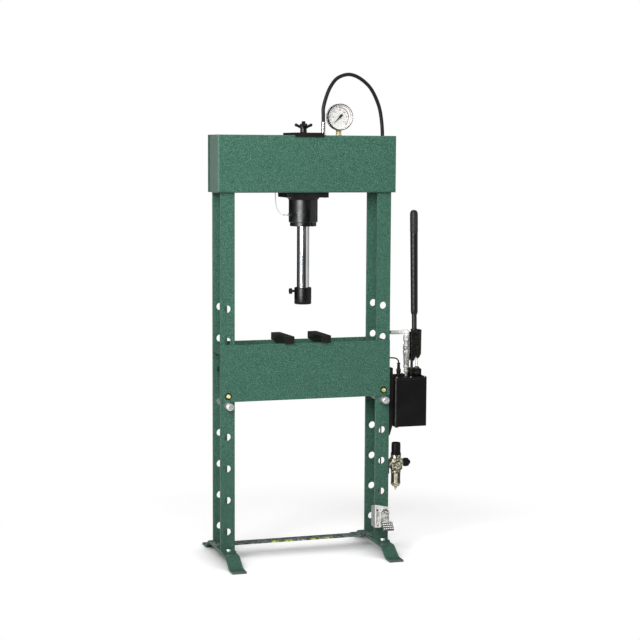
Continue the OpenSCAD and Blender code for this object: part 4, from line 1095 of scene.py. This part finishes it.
marks = []
for i in range(31):
    around = -135 + 9 * i
    long = 5.0 if i % 5 == 0 else 3.0
    wide = 1.0 if i % 5 == 0 else 0.6
    marks.append(on_dial(block((wide, 0.2, long), (0, 14.4, 45.5 - long / 2), 0.05, 1), around))
for i in range(7):
    around = math.radians(-135 + 45 * i)
    lettering = bpy.data.curves.new("number", "FONT")
    lettering.body, lettering.size = str(i * 100), 0.0070
    lettering.align_x, lettering.align_y, lettering.extrude = "CENTER", "CENTER", 0.0001
    bm = bmesh.new()
    bm.from_mesh(as_mesh("number", lettering))
    spot = gauge_at + Vector((28.5 * math.sin(around), 14.4, 28.5 * math.cos(around)))
    marks.append(moved(bm, spot, to_front))
piece("dial_marks", "carriage", black_ink, *marks, slot="dial_white")
arc = []
for i in range(47):
    arc.append(on_dial(block((2.6, 0.2, 3.0), (0, 14.42, 38.4), 0.05, 1), 1.5 + 3.0 * i))
piece("dial_red_arc", "carriage", red_ink, *arc, slot="dial_white")

pointer_black = enamel(
    "pointer_black", (0.002, 0.002, 0.002), (0.004, 0.004, 0.004), 0.6, gloss=0.1, bare=(0.01, 0.01, 0.01)
)
blade = bmesh.new()
outline = (
    (-4.2, -15), (4.2, -15), (4.2, -4), (2.6, 0), (2.3, 4), (0.8, 36), (-0.8, 36), (-2.3, 4), (-2.6, 0),
    (-4.2, -4)
)
corners = [blade.verts.new((x / 1000, 0, z / 1000)) for x, z in outline]
face = blade.faces.new(corners)
thickened = bmesh.ops.extrude_face_region(blade, geom=[face])["geom"]
bmesh.ops.translate(
    blade, vec=(0, 0.0008, 0), verts=[v for v in thickened if isinstance(v, bmesh.types.BMVert)],
)
bmesh.ops.recalc_face_normals(blade, faces=blade.faces)
needle = moved(moved(blade, (0, 10.2, 0), (0, -135, 0)), gauge_at)
hub = turned([(0, 8.6), (4.4, 8.6), (5.2, 9.4), (5.2, 13), (1.5, 13), (1.5, 15.4), (0, 15.4)], 32)
piece(
    "gauge_pointer_blade", "gauge_pointer", pointer_black, needle, moved(hub, gauge_at, to_rear),
    stands_for=("gauge_needle",), slot="black_paint",
)

# The window is a flat glass disc under the bezel.
window_glass, tree, shader = new_finish("window_glass")
out = use_group(tree, mottle, Size=0.01)
join(tree, ramp_value(tree, out["Fine"], 0.02, 0.06), shader.inputs["Roughness"])
shader.inputs["Base Color"].default_value = (0.96, 0.98, 0.98, 1)
shader.inputs["Alpha"].default_value = 0.02
refinish(window_glass, "gauge_lens")

# ---- Pump bracket and reservoir ----
# Black enamelled channel welded to the right post, and a welded sheet-steel oil tank hung on it. The
# lid is held by screws and carries the pump.
refinish(dull_enamel, "pump_bracket")
tank_enamel = enamel(
    "tank_enamel", (0.0034, 0.0030, 0.0032), (0.0056, 0.0050, 0.0052), 0.38, 0.003, 0.00006, 0.16,
)
tree = tank_enamel.node_tree
shader = tree.nodes["Principled BSDF"]
parts = places(tree)
# Painted highlight: a paler stripe down the tank's front left corner, broken up by noise.
tank_front, corner_from, corner_to = -0.0965, 0.3075, 0.3100
in_front = maths(tree, "LESS_THAN", parts["Y"], tank_front)
by_corner = ramp_value(tree, parts["X"], 1.0, 0.0, corner_from, corner_to)
at_corner = maths(tree, "MULTIPLY", by_corner, in_front)
wear = ramp_value(tree, use_group(tree, mottle, Size=0.012)["Fine"], 0.55, 1.0, 0.4, 0.6)
plain = shader.inputs["Base Color"].links[0].from_socket
rubbed = blended(tree, maths(tree, "MULTIPLY", at_corner, wear), plain, (0.075, 0.075, 0.075))
join(tree, rubbed, shader.inputs["Base Color"])
refinish(tank_enamel, "reservoir", "reservoir_lid")
lid_top = 735
bracket_welds = []
for y in (-66, 66):
    bracket_welds.append(weld_bead((291, y, 494), (291, y, 769), 4, 2.8))
for z in (540, 718):
    bracket_welds.append(weld_bead((306, -60, z), (306, -2, z), 4, 2.4))
piece("bracket_welds", "frame", dull_enamel, *bracket_welds, slot="black_paint", sharp=60)
tank_seam = [weld_bead((x, -94, 726.6), (x, 11, 726.6), 2.2, 2.4) for x in (306.6, 444.4)]
tank_seam.append(weld_bead((313, -102.4, 726.6), (438, -102.4, 726.6), 2.2, 2.4))
piece("tank_seam", "frame", tank_enamel, *tank_seam, slot="black_paint", sharp=60)


def socket_screw(across, height, socket):
    """A socket-headed screw's head on z = 0."""
    bm = turned([
        (0, 0), (across / 2, 0), (across / 2, height - 0.5), (across / 2 - 0.5, height),
        (socket / 2, height), (socket / 2, height - 1.8), (0, height - 1.8),
    ], 30)
    return bm


screws = []
for x, y in ((314, -95), (437, -95), (314, 12), (437, 12), (375.5, -95), (375.5, 12)):
    screws.append(moved(socket_screw(8, 4, 4), (x, y, lid_top)))
    screws.append(moved(turned([(0, 0), (6, 0), (6, 0.5), (0, 0.5)], 30), (x, y, lid_top)))
screws += [
    moved(part, (421, -1.5, lid_top))
    for part in (hexagon(19, 6.6), turned([(0, 6), (7, 6), (7, 8.2), (6, 9), (0, 9)], 32))
]
screws += [
    moved(part, (326, -63, 530), (180, 0, 0))
    for part in (hexagon(17, 7), turned([(0, 6), (6, 6), (6, 9), (5, 10), (0, 10)], 32))
]
screws.append(moved(turned([(0, 0), (6, 0), (6, 3), (0, 3)], 32), (326, -63, 530)))
oily_zinc = plated("oily_zinc", (0.10, 0.10, 0.095), (0.34, 0.34, 0.33), 0.46)
piece("pump_screws_turned", "frame", oily_zinc, *screws, stands_for=("pump_screws",), slot="zinc")

# ---- Pump block, pivot and plunger ----
# Machined block bolted to the lid, with a post for the lever's pivot and a ground plunger beside it.
oily_steel = blackened(
    "oily_steel", (0.005, 0.0045, 0.0035), (0.020, 0.018, 0.014), (0.20, 0.19, 0.16), 0.36, 0.7,
)
body = [
    block((49, 44, 30), (410.5, -40, 750), 1.8, 3),
    moved(turned([(0, 659), (13, 659), (13, 737), (0, 737)], 40), (422, -40, 0)),
    moved(hexagon(20, 6, chamfer=1), (422, -40, 764)),
    moved(turned([(0, 0), (7.2, 0), (7.2, 2.5), (5.6, 3.5), (0, 3.5)], 32), (422, -40, 770)),
    moved(hexagon(17, 5, chamfer=0.8), (399, -40, 764.5)),
    moved(hexagon(10, 3.5, chamfer=0.6), (393, -62, 744), to_front),
]
for x in (389.5, 431.5):
    body.append(moved(socket_screw(7, 4.5, 3.6), (x, -24, 765)))
piece("pump_block_machined", "frame", oily_steel, *body, stands_for=("pump_block",), slot="black_paint")
refinish(oily_steel, "pivot_post")
plunger_steel = plated("plunger_steel", (0.62, 0.60, 0.50), (0.86, 0.85, 0.76), 0.42)
refinish(plunger_steel, "pump_plunger")
refinish(zinc_plate, "lever_pins")

# ---- Lever ----
# Two plate cheeks welded to a socket, and a round bar pushed into it. The bar's rubber grip has a
# domed end and a dimpled upper part.
refinish(oily_steel, "lever_socket")
along = Matrix.Translation((0.399, -0.040, 0.806)) @ Matrix.Rotation(math.radians(-0.9), 4, "Y")
along = along @ Matrix.Translation((0.012, 0, 0))


def on_lever(bm):
    bmesh.ops.transform(bm, matrix=along, verts=bm.verts)
    return bm


socket_parts = [
    on_lever(turned([
        (10.6, 118), (14.6, 118), (15.6, 119), (15.6, 123), (14.6, 124), (10.6, 124), (10.6, 118),
    ], 40)),
    *[
        moved(hexagon(13, height, chamfer=0.8), (x, y, z), way)
        for x, z in ((416, 858), (413, 900)) for y, height, way in ((-52, 7, to_front), (-28, 6, to_rear))
    ],
    moved(turned([(0, 0), (7.5, 0), (7.5, 1.2), (0, 1.2)], 32), (399, -53.4, 806), to_front),
    moved(turned([(0, 0), (5.6, 0), (5.6, 1.0), (0, 1.0)], 32), (422, -53.4, 818), to_front),
]
for x in (393, 431):
    for y in (-52, -28):
        socket_parts.append(weld_bead((x, y, 862), (x - 1.4, y, 920), 2.6, 1.8))
piece("lever_socket_fixings", "pump_lever", oily_steel, *socket_parts, slot="black_paint")
bar_enamel = enamel("bar_enamel", (0.004, 0.004, 0.004), (0.008, 0.008, 0.008), 0.32)
refinish(bar_enamel, "lever_bar")

grip_rubber, tree, shader = new_finish("grip_rubber")
out = use_group(tree, mottle, Size=0.0012)
dimples = tree.nodes.new("ShaderNodeTexVoronoi")
dimples.inputs["Scale"].default_value = 210
dimples.inputs["Randomness"].default_value = 0.35
join(tree, tree.nodes.new("ShaderNodeTexCoord").outputs["Object"], dimples.inputs["Vector"])
upper = ramp_value(tree, places(tree)["Z"], 0.0, 1.0, 1.326, 1.332)
dots = maths(tree, "MULTIPLY", ramp_value(tree, dimples.outputs["Distance"], 1.0, 0.0, 0.15, 0.5), upper)
skin = shades(tree, out["Both"], (0.36, (0.0035, 0.0035, 0.0035)), (0.64, (0.0080, 0.0080, 0.0080)))
dress(
    tree, shader, blended(tree, part_way(tree, dots, 0.6), skin, (0.085, 0.085, 0.082)), out["Broad"],
    0.36, 0.50,
)
shader.inputs["Specular IOR Level"].default_value = 0.28
height = maths(tree, "ADD", maths(tree, "MULTIPLY", dots, 1.0), maths(tree, "MULTIPLY", out["Fine"], 0.08))
roughen(tree, shader, height, 0.0009)
grip_outline = [(10.6, 187), (12.2, 186.2), (12.8, 187.2), (13.2, 190), (14, 194), (14.4, 198)]
for i in range(14):
    z = 198 + i * 23.5
    grip_outline += [(14.6 + 0.085 * i, z + 2), (14.7 + 0.085 * i, z + 21), (14.4 + 0.085 * i, z + 22.5)]
grip_outline += [(16.1, 528), (16.5, 532), (16.5, 548)]
for i in range(5):
    z = 552 + i * 8
    grip_outline += [(16.0, z), (16.5, z + 1.2), (16.5, z + 6)]
grip_outline += [(16.4, 604), (15.6, 609), (13.6, 614), (10.4, 618), (6, 620), (0, 620.6)]
piece(
    "lever_grip_moulded", "pump_lever", grip_rubber,
    on_lever(turned(grip_outline + [(0, 600), (10.6, 600), (10.6, 187)], 48)),
    stands_for=("lever_grip",), slot="black_rubber", sharp=60,
)

# ---- Release knob ----
# Knurled black knob that lets the oil back. It turns in the front of the pump's block.
piece(
    "release_knob_knurled", "release_valve", black_moulding,
    moved(knurled(19, 11, 16, 0.6), (410, -64.3, 749), to_front),
    moved(turned([(0, 0), (7, 0), (7, 1.2), (5.6, 2), (0, 2)], 32), (410, -75.3, 749), to_front),
    moved(turned([(0, 0), (8.5, 0), (8.5, 2.2), (0, 2.2)], 32), (410, -62.3, 749), to_front),
    moved(turned([(0, 0), (4, 0), (4, 14), (0, 14)], 32), (410, -49.5, 749), to_front),
    stands_for=("release_knob",), slot="black_plastic",
)

# ---- Pump outlet ----
# A stack of turned and zinc-plated adapters that brings the oil up to the hose.
outlet = [
    turned([(0, 0), (7, 0), (7, 14.5), (0, 14.5)], 40),
    hexagon(19, 10, low=14), turned([(9, 24), (9.2, 24), (9.2, 33), (0, 33)], 40),
    hexagon(22, 12, low=33),
    turned([(0, 44), (11, 44), (11.4, 47), (12.6, 76), (13, 80), (13, 92), (0, 92)], 40),
    hexagon(26, 16, low=92),
    turned([
        (0, 107), (12, 107), (12, 112), (14.6, 113), (15, 114), (15, 121), (14.4, 122), (12, 123), (0, 123),
    ], 40),
    hexagon(24, 9, low=123), turned([(0, 131), (10.4, 131), (10.4, 145), (0, 145)], 40),
    hexagon(24, 15, low=145),
    turned([(0, 159), (12.6, 159), (13.4, 160), (13.4, 168), (12, 170), (0, 170)], 40),
]
outlet_zinc = plated(
    "outlet_zinc", (0.03, 0.03, 0.025), (0.56, 0.56, 0.53), 0.55, 0.0055, 0.0005, metal=0.6,
)
piece(
    "outlet_adapters", "frame", outlet_zinc, *[moved(part, (375, -40, lid_top)) for part in outlet],
    stands_for=("outlet_fitting",), slot="zinc",
)

# ---- Air fittings and tubes ----
# Black push-in fittings and 6 mm nylon tube. One tube feeds the pump and one runs from the
# regulator to the foot valve, both down the inside of the post.
coupler = turned([
    (6, 12), (6, 33), (8, 33), (8.6, 32.4), (8.6, 26), (12, 25.6), (16.6, 25.2), (16.6, 4), (15, 2.4),
    (11, 0), (0, 0), (0, 12), (6, 12),
], 40)
grip_ring = knurled(36, 16, 20, 1.2)
matt_moulding = moulded(
    "matt_moulding", (0.0010, 0.0016, 0.0013), (0.0032, 0.0044, 0.0038), 0.5, gloss=0.14,
)
piece(
    "air_push_fittings", "frame", matt_moulding,
    *[moved(part, (341, -40, lid_top)) for part in (
        hexagon(15, 14), hexagon(17, 16, low=14),
        turned(
            [
                (0, 30), (6.4, 30), (6.4, 44), (5.6, 45), (5.6, 49), (7.2, 50), (7.2, 53), (6.2, 55),
                (0, 55),
            ],
            32,
        ),
    )],
    moved(coupler, (362, -40, 368), to_right),
    stands_for=("air_fittings",), slot="black_plastic",
)
bmesh.ops.delete(
    grip_ring, geom=[face for face in grip_ring.faces if abs(face.normal.z) > 0.9 and len(face.verts) > 4],
    context="FACES",
)
piece(
    "coupler_sleeve", "frame", matt_moulding, moved(grip_ring, (368, -40, 368), to_right),
    slot="black_plastic",
)

air_nylon = rubber("air_nylon", (0.003, 0.003, 0.003), (0.007, 0.007, 0.007), 0.35, 0.002, 0.00002)
pump_air = [
    (0.3410, -0.0400, 0.7900), (0.3400, -0.0391, 0.7979), (0.3369, -0.0367, 0.8037),
    (0.3324, -0.0330, 0.8076), (0.3270, -0.0286, 0.8090), (0.3200, -0.0230, 0.8092),
    (0.3131, -0.0173, 0.8090), (0.3012, -0.0076, 0.8060), (0.2911, 0.0006, 0.7973),
    (0.2844, 0.0061, 0.7843), (0.2820, 0.0080, 0.7690), (0.2820, 0.0080, 0.7400),
    (0.2820, 0.0080, 0.6000), (0.2820, 0.0080, 0.4500), (0.2820, 0.0080, 0.3000),
    (0.2820, 0.0080, 0.1950), (0.2820, 0.0080, 0.1670), (0.2815, 0.0050, 0.1517),
    (0.2800, -0.0035, 0.1387), (0.2778, -0.0164, 0.1300), (0.2752, -0.0314, 0.1270),
    (0.2722, -0.0492, 0.1270), (0.2690, -0.0680, 0.1270),
]
filter_air = [
    (0.2940, -0.0400, 0.3680), (0.2900, -0.0400, 0.3680), (0.2808, -0.0395, 0.3662),
    (0.2730, -0.0385, 0.3610), (0.2678, -0.0370, 0.3532), (0.2660, -0.0355, 0.3440),
    (0.2655, -0.0315, 0.3200), (0.2645, -0.0270, 0.2900), (0.2640, -0.0245, 0.2550),
    (0.2635, -0.0240, 0.2100), (0.2624, -0.0242, 0.1750), (0.2620, -0.0245, 0.1570),
    (0.2615, -0.0268, 0.1455), (0.2602, -0.0331, 0.1358), (0.2582, -0.0426, 0.1293),
    (0.2559, -0.0539, 0.1270), (0.2530, -0.0680, 0.1270),
]
first_tube = tube_along("pump_air_tube", smooth_route(pump_air), 0.006, air_nylon, 4)
second_tube = tube_along("filter_air_tube", smooth_route(filter_air), 0.006, air_nylon, 4)
for tube, points in ((first_tube, pump_air), (second_tube, filter_air)):
    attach(tube, "frame")
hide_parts("air_lines")

# ---- Regulator and filter ----
# Die-cast body, yellow passivated, with a black pressure knob on top. The filter's bowl is clear
# plastic gone amber, in a dark slotted guard, with a drain cock at its foot.
filter_at = (333, -40, 0)
refinish(dull_enamel, "filter_bracket")
die_cast, tree, shader = new_finish("die_cast")
out = use_group(tree, mottle, Size=0.009)
tint = shades(
    tree, out["Fine"], (0.38, (0.018, 0.015, 0.009)), (0.47, (0.13, 0.12, 0.07)), (0.60, (0.66, 0.63, 0.50))
)
tint = edge_tone(tree, tint, (0.80, 0.77, 0.62), 0.6, 0.0016, 0.005)
dress(tree, shader, tint, out["Fine"], 0.32, 0.5, 0.35, 0.65)
shader.inputs["Metallic"].default_value = 0.6
roughen(tree, shader, out["Fine"], 0.00012)
regulator = [
    block((46, 42, 49), (333, -40, 363.5), 5, 3),
    moved(
        turned([(0, 0), (15, 0), (15, 2.6), (12, 4), (12, 6.5), (6.5, 6.5), (6.5, 4), (0, 4)], 40),
        (333, -60, 368), to_front,
    ),
    moved(turned([(0, 0), (14, 0), (14, 20), (12, 22), (0, 22)], 40), (316, -40, 368), to_left),
    moved(turned([(0, 0), (16, 0), (16, 6), (14, 8), (0, 8)], 40), (354, -40, 368), to_right),
    moved(
        turned([
            (0, 388), (20, 388), (22, 390), (22, 400), (21, 402), (9, 402), (9, 430), (8, 432), (0, 432),
        ], 48),
        filter_at,
    ),
    moved(turned([(0, 339), (7.5, 339), (7.5, 299), (0, 299)], 32), filter_at),
]
for x in (-17, 17):
    for z in (345, 384):
        regulator.append(moved(socket_screw(6, 2.4, 3), (333 + x, -60.6, z), to_front))
piece("regulator_die_cast", "frame", die_cast, *regulator, stands_for=("regulator_body",), slot="brass")
knob_parts = [
    moved(knurled(38.6, 36, 22, 0.9), (0, 0, 9)),
    turned([(9.2, 0), (20.6, 0), (21.5, 1), (21.5, 7), (20.2, 8.4), (18.6, 9.4), (9.2, 9.4), (9.2, 0)], 48),
    turned(
        [(0, 44.6), (18.4, 44.6), (18.8, 46), (18.8, 49), (17.4, 51.4), (15, 52), (13, 51.2), (0, 51.2)],
        48,
    ),
]
piece(
    "regulator_knob_ribbed", "pressure_knob", matt_moulding,
    *[moved(part, (333, -40, 402.3)) for part in knob_parts],
    stands_for=("regulator_knob",), slot="black_plastic",
)
amber, tree, shader = new_finish("amber_bowl")
out = use_group(tree, mottle, Size=0.006)
tint = shades(
    tree, out["Both"], (0.38, (0.34, 0.30, 0.18)), (0.48, (0.60, 0.56, 0.40)), (0.62, (0.76, 0.73, 0.58)),
)
dress(tree, shader, tint, out["Fine"], 0.15, 0.3)
shader.inputs["Subsurface Weight"].default_value = 0.25
shader.inputs["Subsurface Scale"].default_value = 0.004
bowl = turned([
    (4.1, 266.9), (9.6, 266.9), (13.8, 268.4), (16.8, 271), (18.4, 274.6), (18.8, 279), (18.2, 283),
    (17.4, 285), (17.4, 337), (15.4, 337), (15.4, 279), (13, 276), (4.1, 274), (4.1, 266.9),
], 48)
piece("filter_bowl_clear", "frame", amber, moved(bowl, filter_at), slot="clear_glass", sharp=40)
guard_dark = enamel(
    "guard_dark", (0.008, 0.007, 0.004), (0.022, 0.018, 0.010), 0.42, 0.003, bare=(0.22, 0.19, 0.10),
)
guard_rims = [
    moved(
        turned([(18.9, 280), (20.4, 279), (21, 280), (21, 285), (17.6, 285), (18.9, 280)], 64), filter_at,
    ),
    moved(turned([(17.5, 326), (21, 326), (21, 336.8), (17.5, 336.8), (17.5, 326)], 64), filter_at),
]
piece("filter_guard_rims", "frame", die_cast, *guard_rims, slot="brass")
guard = []
upright = turned([(17.6, 284), (21, 284), (21, 327), (17.6, 327), (17.6, 284)], 96)
for i in range(4):
    middle = 90 * i + 27.5
    bar = sector(upright, middle, 20)
    facing_out = Vector((math.cos(math.radians(middle)), math.sin(math.radians(middle)), 0))
    behind = [face for face in bar.faces if face.calc_center_median().dot(facing_out) < 0]
    bmesh.ops.delete(bar, geom=behind, context="FACES")
    bmesh.ops.recalc_face_normals(bar, faces=bar.faces)
    guard.append(moved(bar, filter_at))
upright.free()
piece("filter_guard_bars", "frame", guard_dark, *guard, stands_for=("filter_bowl",), slot="clear_glass")
inside = [
    moved(
        turned([(0, 300), (8.5, 300), (12.5, 303), (12.5, 306), (8.6, 307), (8.6, 336), (0, 336)], 32),
        filter_at,
    ),
]
piece("filter_element", "frame", guard_dark, *inside, slot="black_plastic")
dull_brass = plated("dull_brass", (0.36, 0.29, 0.14), (0.66, 0.56, 0.32), 0.34)
piece(
    "drain_cock_turned", "drain_valve", dull_brass,
    moved(turned([(0, 0), (4, 0), (4, 14), (0, 14)], 32), (333, -40, 265)),
    moved(knurled(13, 6.6, 12, 0.5), (333, -40, 260)),
    moved(turned([(0, 0), (2, 0), (2, 4), (0, 4)], 24), (333, -40, 256.4)),
    stands_for=("drain_cock",), slot="brass",
)
piece(
    "drain_tip", "drain_valve", satin_zinc,
    moved(turned([(0, 0), (3.6, 0), (4.4, 0.8), (4.4, 4.6), (3.8, 5.4), (0, 5.4)], 32), (333, -40, 251)),
    slot="zinc",
)

# ---- Foot valve ----
# Grey painted casting on the front of the right post, low down, with raised rims, a panel and a
# few stiffening ribs. Its pedal swings on a pin in a pocket on the right.
cast_grey, tree, shader = new_finish("cast_grey")
out = use_group(tree, mottle, Size=0.006)
grey = shades(
    tree, out["Fine"], (0.36, (0.34, 0.34, 0.31)), (0.47, (0.76, 0.76, 0.72)), (0.60, (0.95, 0.95, 0.92))
)
grey = edge_tone(tree, grey, (0.92, 0.92, 0.89), 0.6, 0.0016, 0.006)
parts = places(tree)
left_side = 0.2154
# Painted shade: the casting's left side is darker.
painted_side_shade = maths(tree, "LESS_THAN", parts["X"], left_side)
grey = blended(tree, part_way(tree, painted_side_shade, 0.75), grey, (0.13, 0.14, 0.125))
# Painted shade in the recessed panel, which is darker.
panel_low, panel_high = (0.2205, -0.1183, 0.1195), (0.2352, -0.1175, 0.1815)
painted_panel_shade = 1
for axis, low, high in zip("XYZ", panel_low, panel_high):
    painted_panel_shade = maths(tree, "MULTIPLY", painted_panel_shade, maths(tree, "GREATER_THAN", parts[axis], low))
    painted_panel_shade = maths(tree, "MULTIPLY", painted_panel_shade, maths(tree, "LESS_THAN", parts[axis], high))
dress(
    tree, shader, blended(tree, part_way(tree, painted_panel_shade, 0.6), grey, (0.16, 0.16, 0.15)), out["Fine"],
    0.34, 0.54, 0.35, 0.65,
)
shader.inputs["Metallic"].default_value = 0.15
roughen(tree, shader, out["Fine"], 0.00025)
refinish(cast_grey, "foot_valve")
front = -118
ribs = []
for size, centre in (
    ((4.4, 7, 93), (217.4, front, 161.5)), ((3, 7, 26), (276.6, front, 182)),
    ((24, 6, 3.6), (230, front, 116.4)), ((3.8, 7, 66), (237.3, front, 150)),
    ((22, 5, 3), (229, front, 183.5)),
):
    ribs.append(block(size, centre, 1.0))
ribs.append(moved(block((62.5, 7, 4), (0, 0, 0), 1.0), (246.5, front, 201.4), (0, 12, 0)))
for a, b in (((221, 121), (229.5, 140)), ((235.5, 121), (229.5, 140)), ((229.5, 140), (229.5, 160))):
    ribs.append(weld_bead((a[0], front, a[1]), (b[0], front, b[1]), 4.2, 1.2))
ribs.append(
    moved(
        turned([(8.2, 0), (8.2, 1.2), (9.4, 1.2), (9.4, 0), (8.2, 0)], 40), (224, front + 0.2, 188),
        to_front,
    )
)
rubbed_grey = plated("rubbed_grey", (0.66, 0.66, 0.63), (0.97, 0.97, 0.95), 0.5, 0.005, 0.0001, metal=0.1)
piece("foot_valve_ribs", "frame", rubbed_grey, *ribs, slot="cast_aluminium", sharp=50)
dark_screw = blackened("dark_screw", (0.015, 0.015, 0.015), (0.03, 0.03, 0.03), (0.2, 0.2, 0.2), 0.45, 0.5)
piece(
    "foot_valve_screws", "frame", dark_screw,
    moved(socket_screw(9, 3.2, 4.6), (224, front - 0.1, 188), to_front),
    moved(turned([(0, 0), (2.6, 0), (2.6, 0.5), (1.4, 0.9), (0, 0.9)], 24), (214.9, -100, 162), to_left),
    slot="dark_steel",
)

# ---- Pedal ----
# Cast pad and sloping tread in one, lightly worn, with rows of small bright studs on the tread.
pedal_grey, tree, shader = new_finish("pedal_grey")
out = use_group(tree, mottle, Size=0.005)
grey = shades(
    tree, out["Fine"], (0.38, (0.10, 0.10, 0.092)), (0.48, (0.40, 0.40, 0.38)), (0.60, (0.78, 0.78, 0.75))
)
grey = edge_tone(tree, grey, (0.84, 0.84, 0.82), 0.6, 0.0016, 0.005)
parts = places(tree)
tread_from = 0.140
on_tread = maths(tree, "LESS_THAN", parts["Z"], tread_from)
dress(
    tree, shader, blended(tree, part_way(tree, on_tread, 0.8), grey, (0.05, 0.05, 0.045)), out["Fine"],
    0.32, 0.5, 0.35, 0.65,
)
shader.inputs["Metallic"].default_value = 0.5
roughen(tree, shader, out["Fine"], 0.0003)
refinish(pedal_grey, "foot_pedal")
tread_top, tread_end = Vector((0, -132, 142)), Vector((0, -158, 110))
slope = (tread_end - tread_top).normalized()
studs = []
for row in range(4):
    for i in range(5):
        spot = tread_top + slope * (5 + row * 9.6) + Vector((262.5 - 18 + 9 * i, 0, 0))
        stud = turned([(0, -0.5), (3.8, -0.5), (3.4, 1.6), (2.4, 2.4), (0, 2.4)], 16)
        studs.append(
            moved(moved(stud, (0, 0, 0), (math.degrees(math.atan2(slope.z, slope.y)) - 90, 0, 0)), spot)
        )
worn_studs = plated("worn_studs", (0.66, 0.66, 0.64), (0.99, 0.99, 0.98), 0.45, 0.008, metal=0.4)
piece("tread_studs", "pedal", worn_studs, *studs, slot="cast_aluminium", sharp=40)
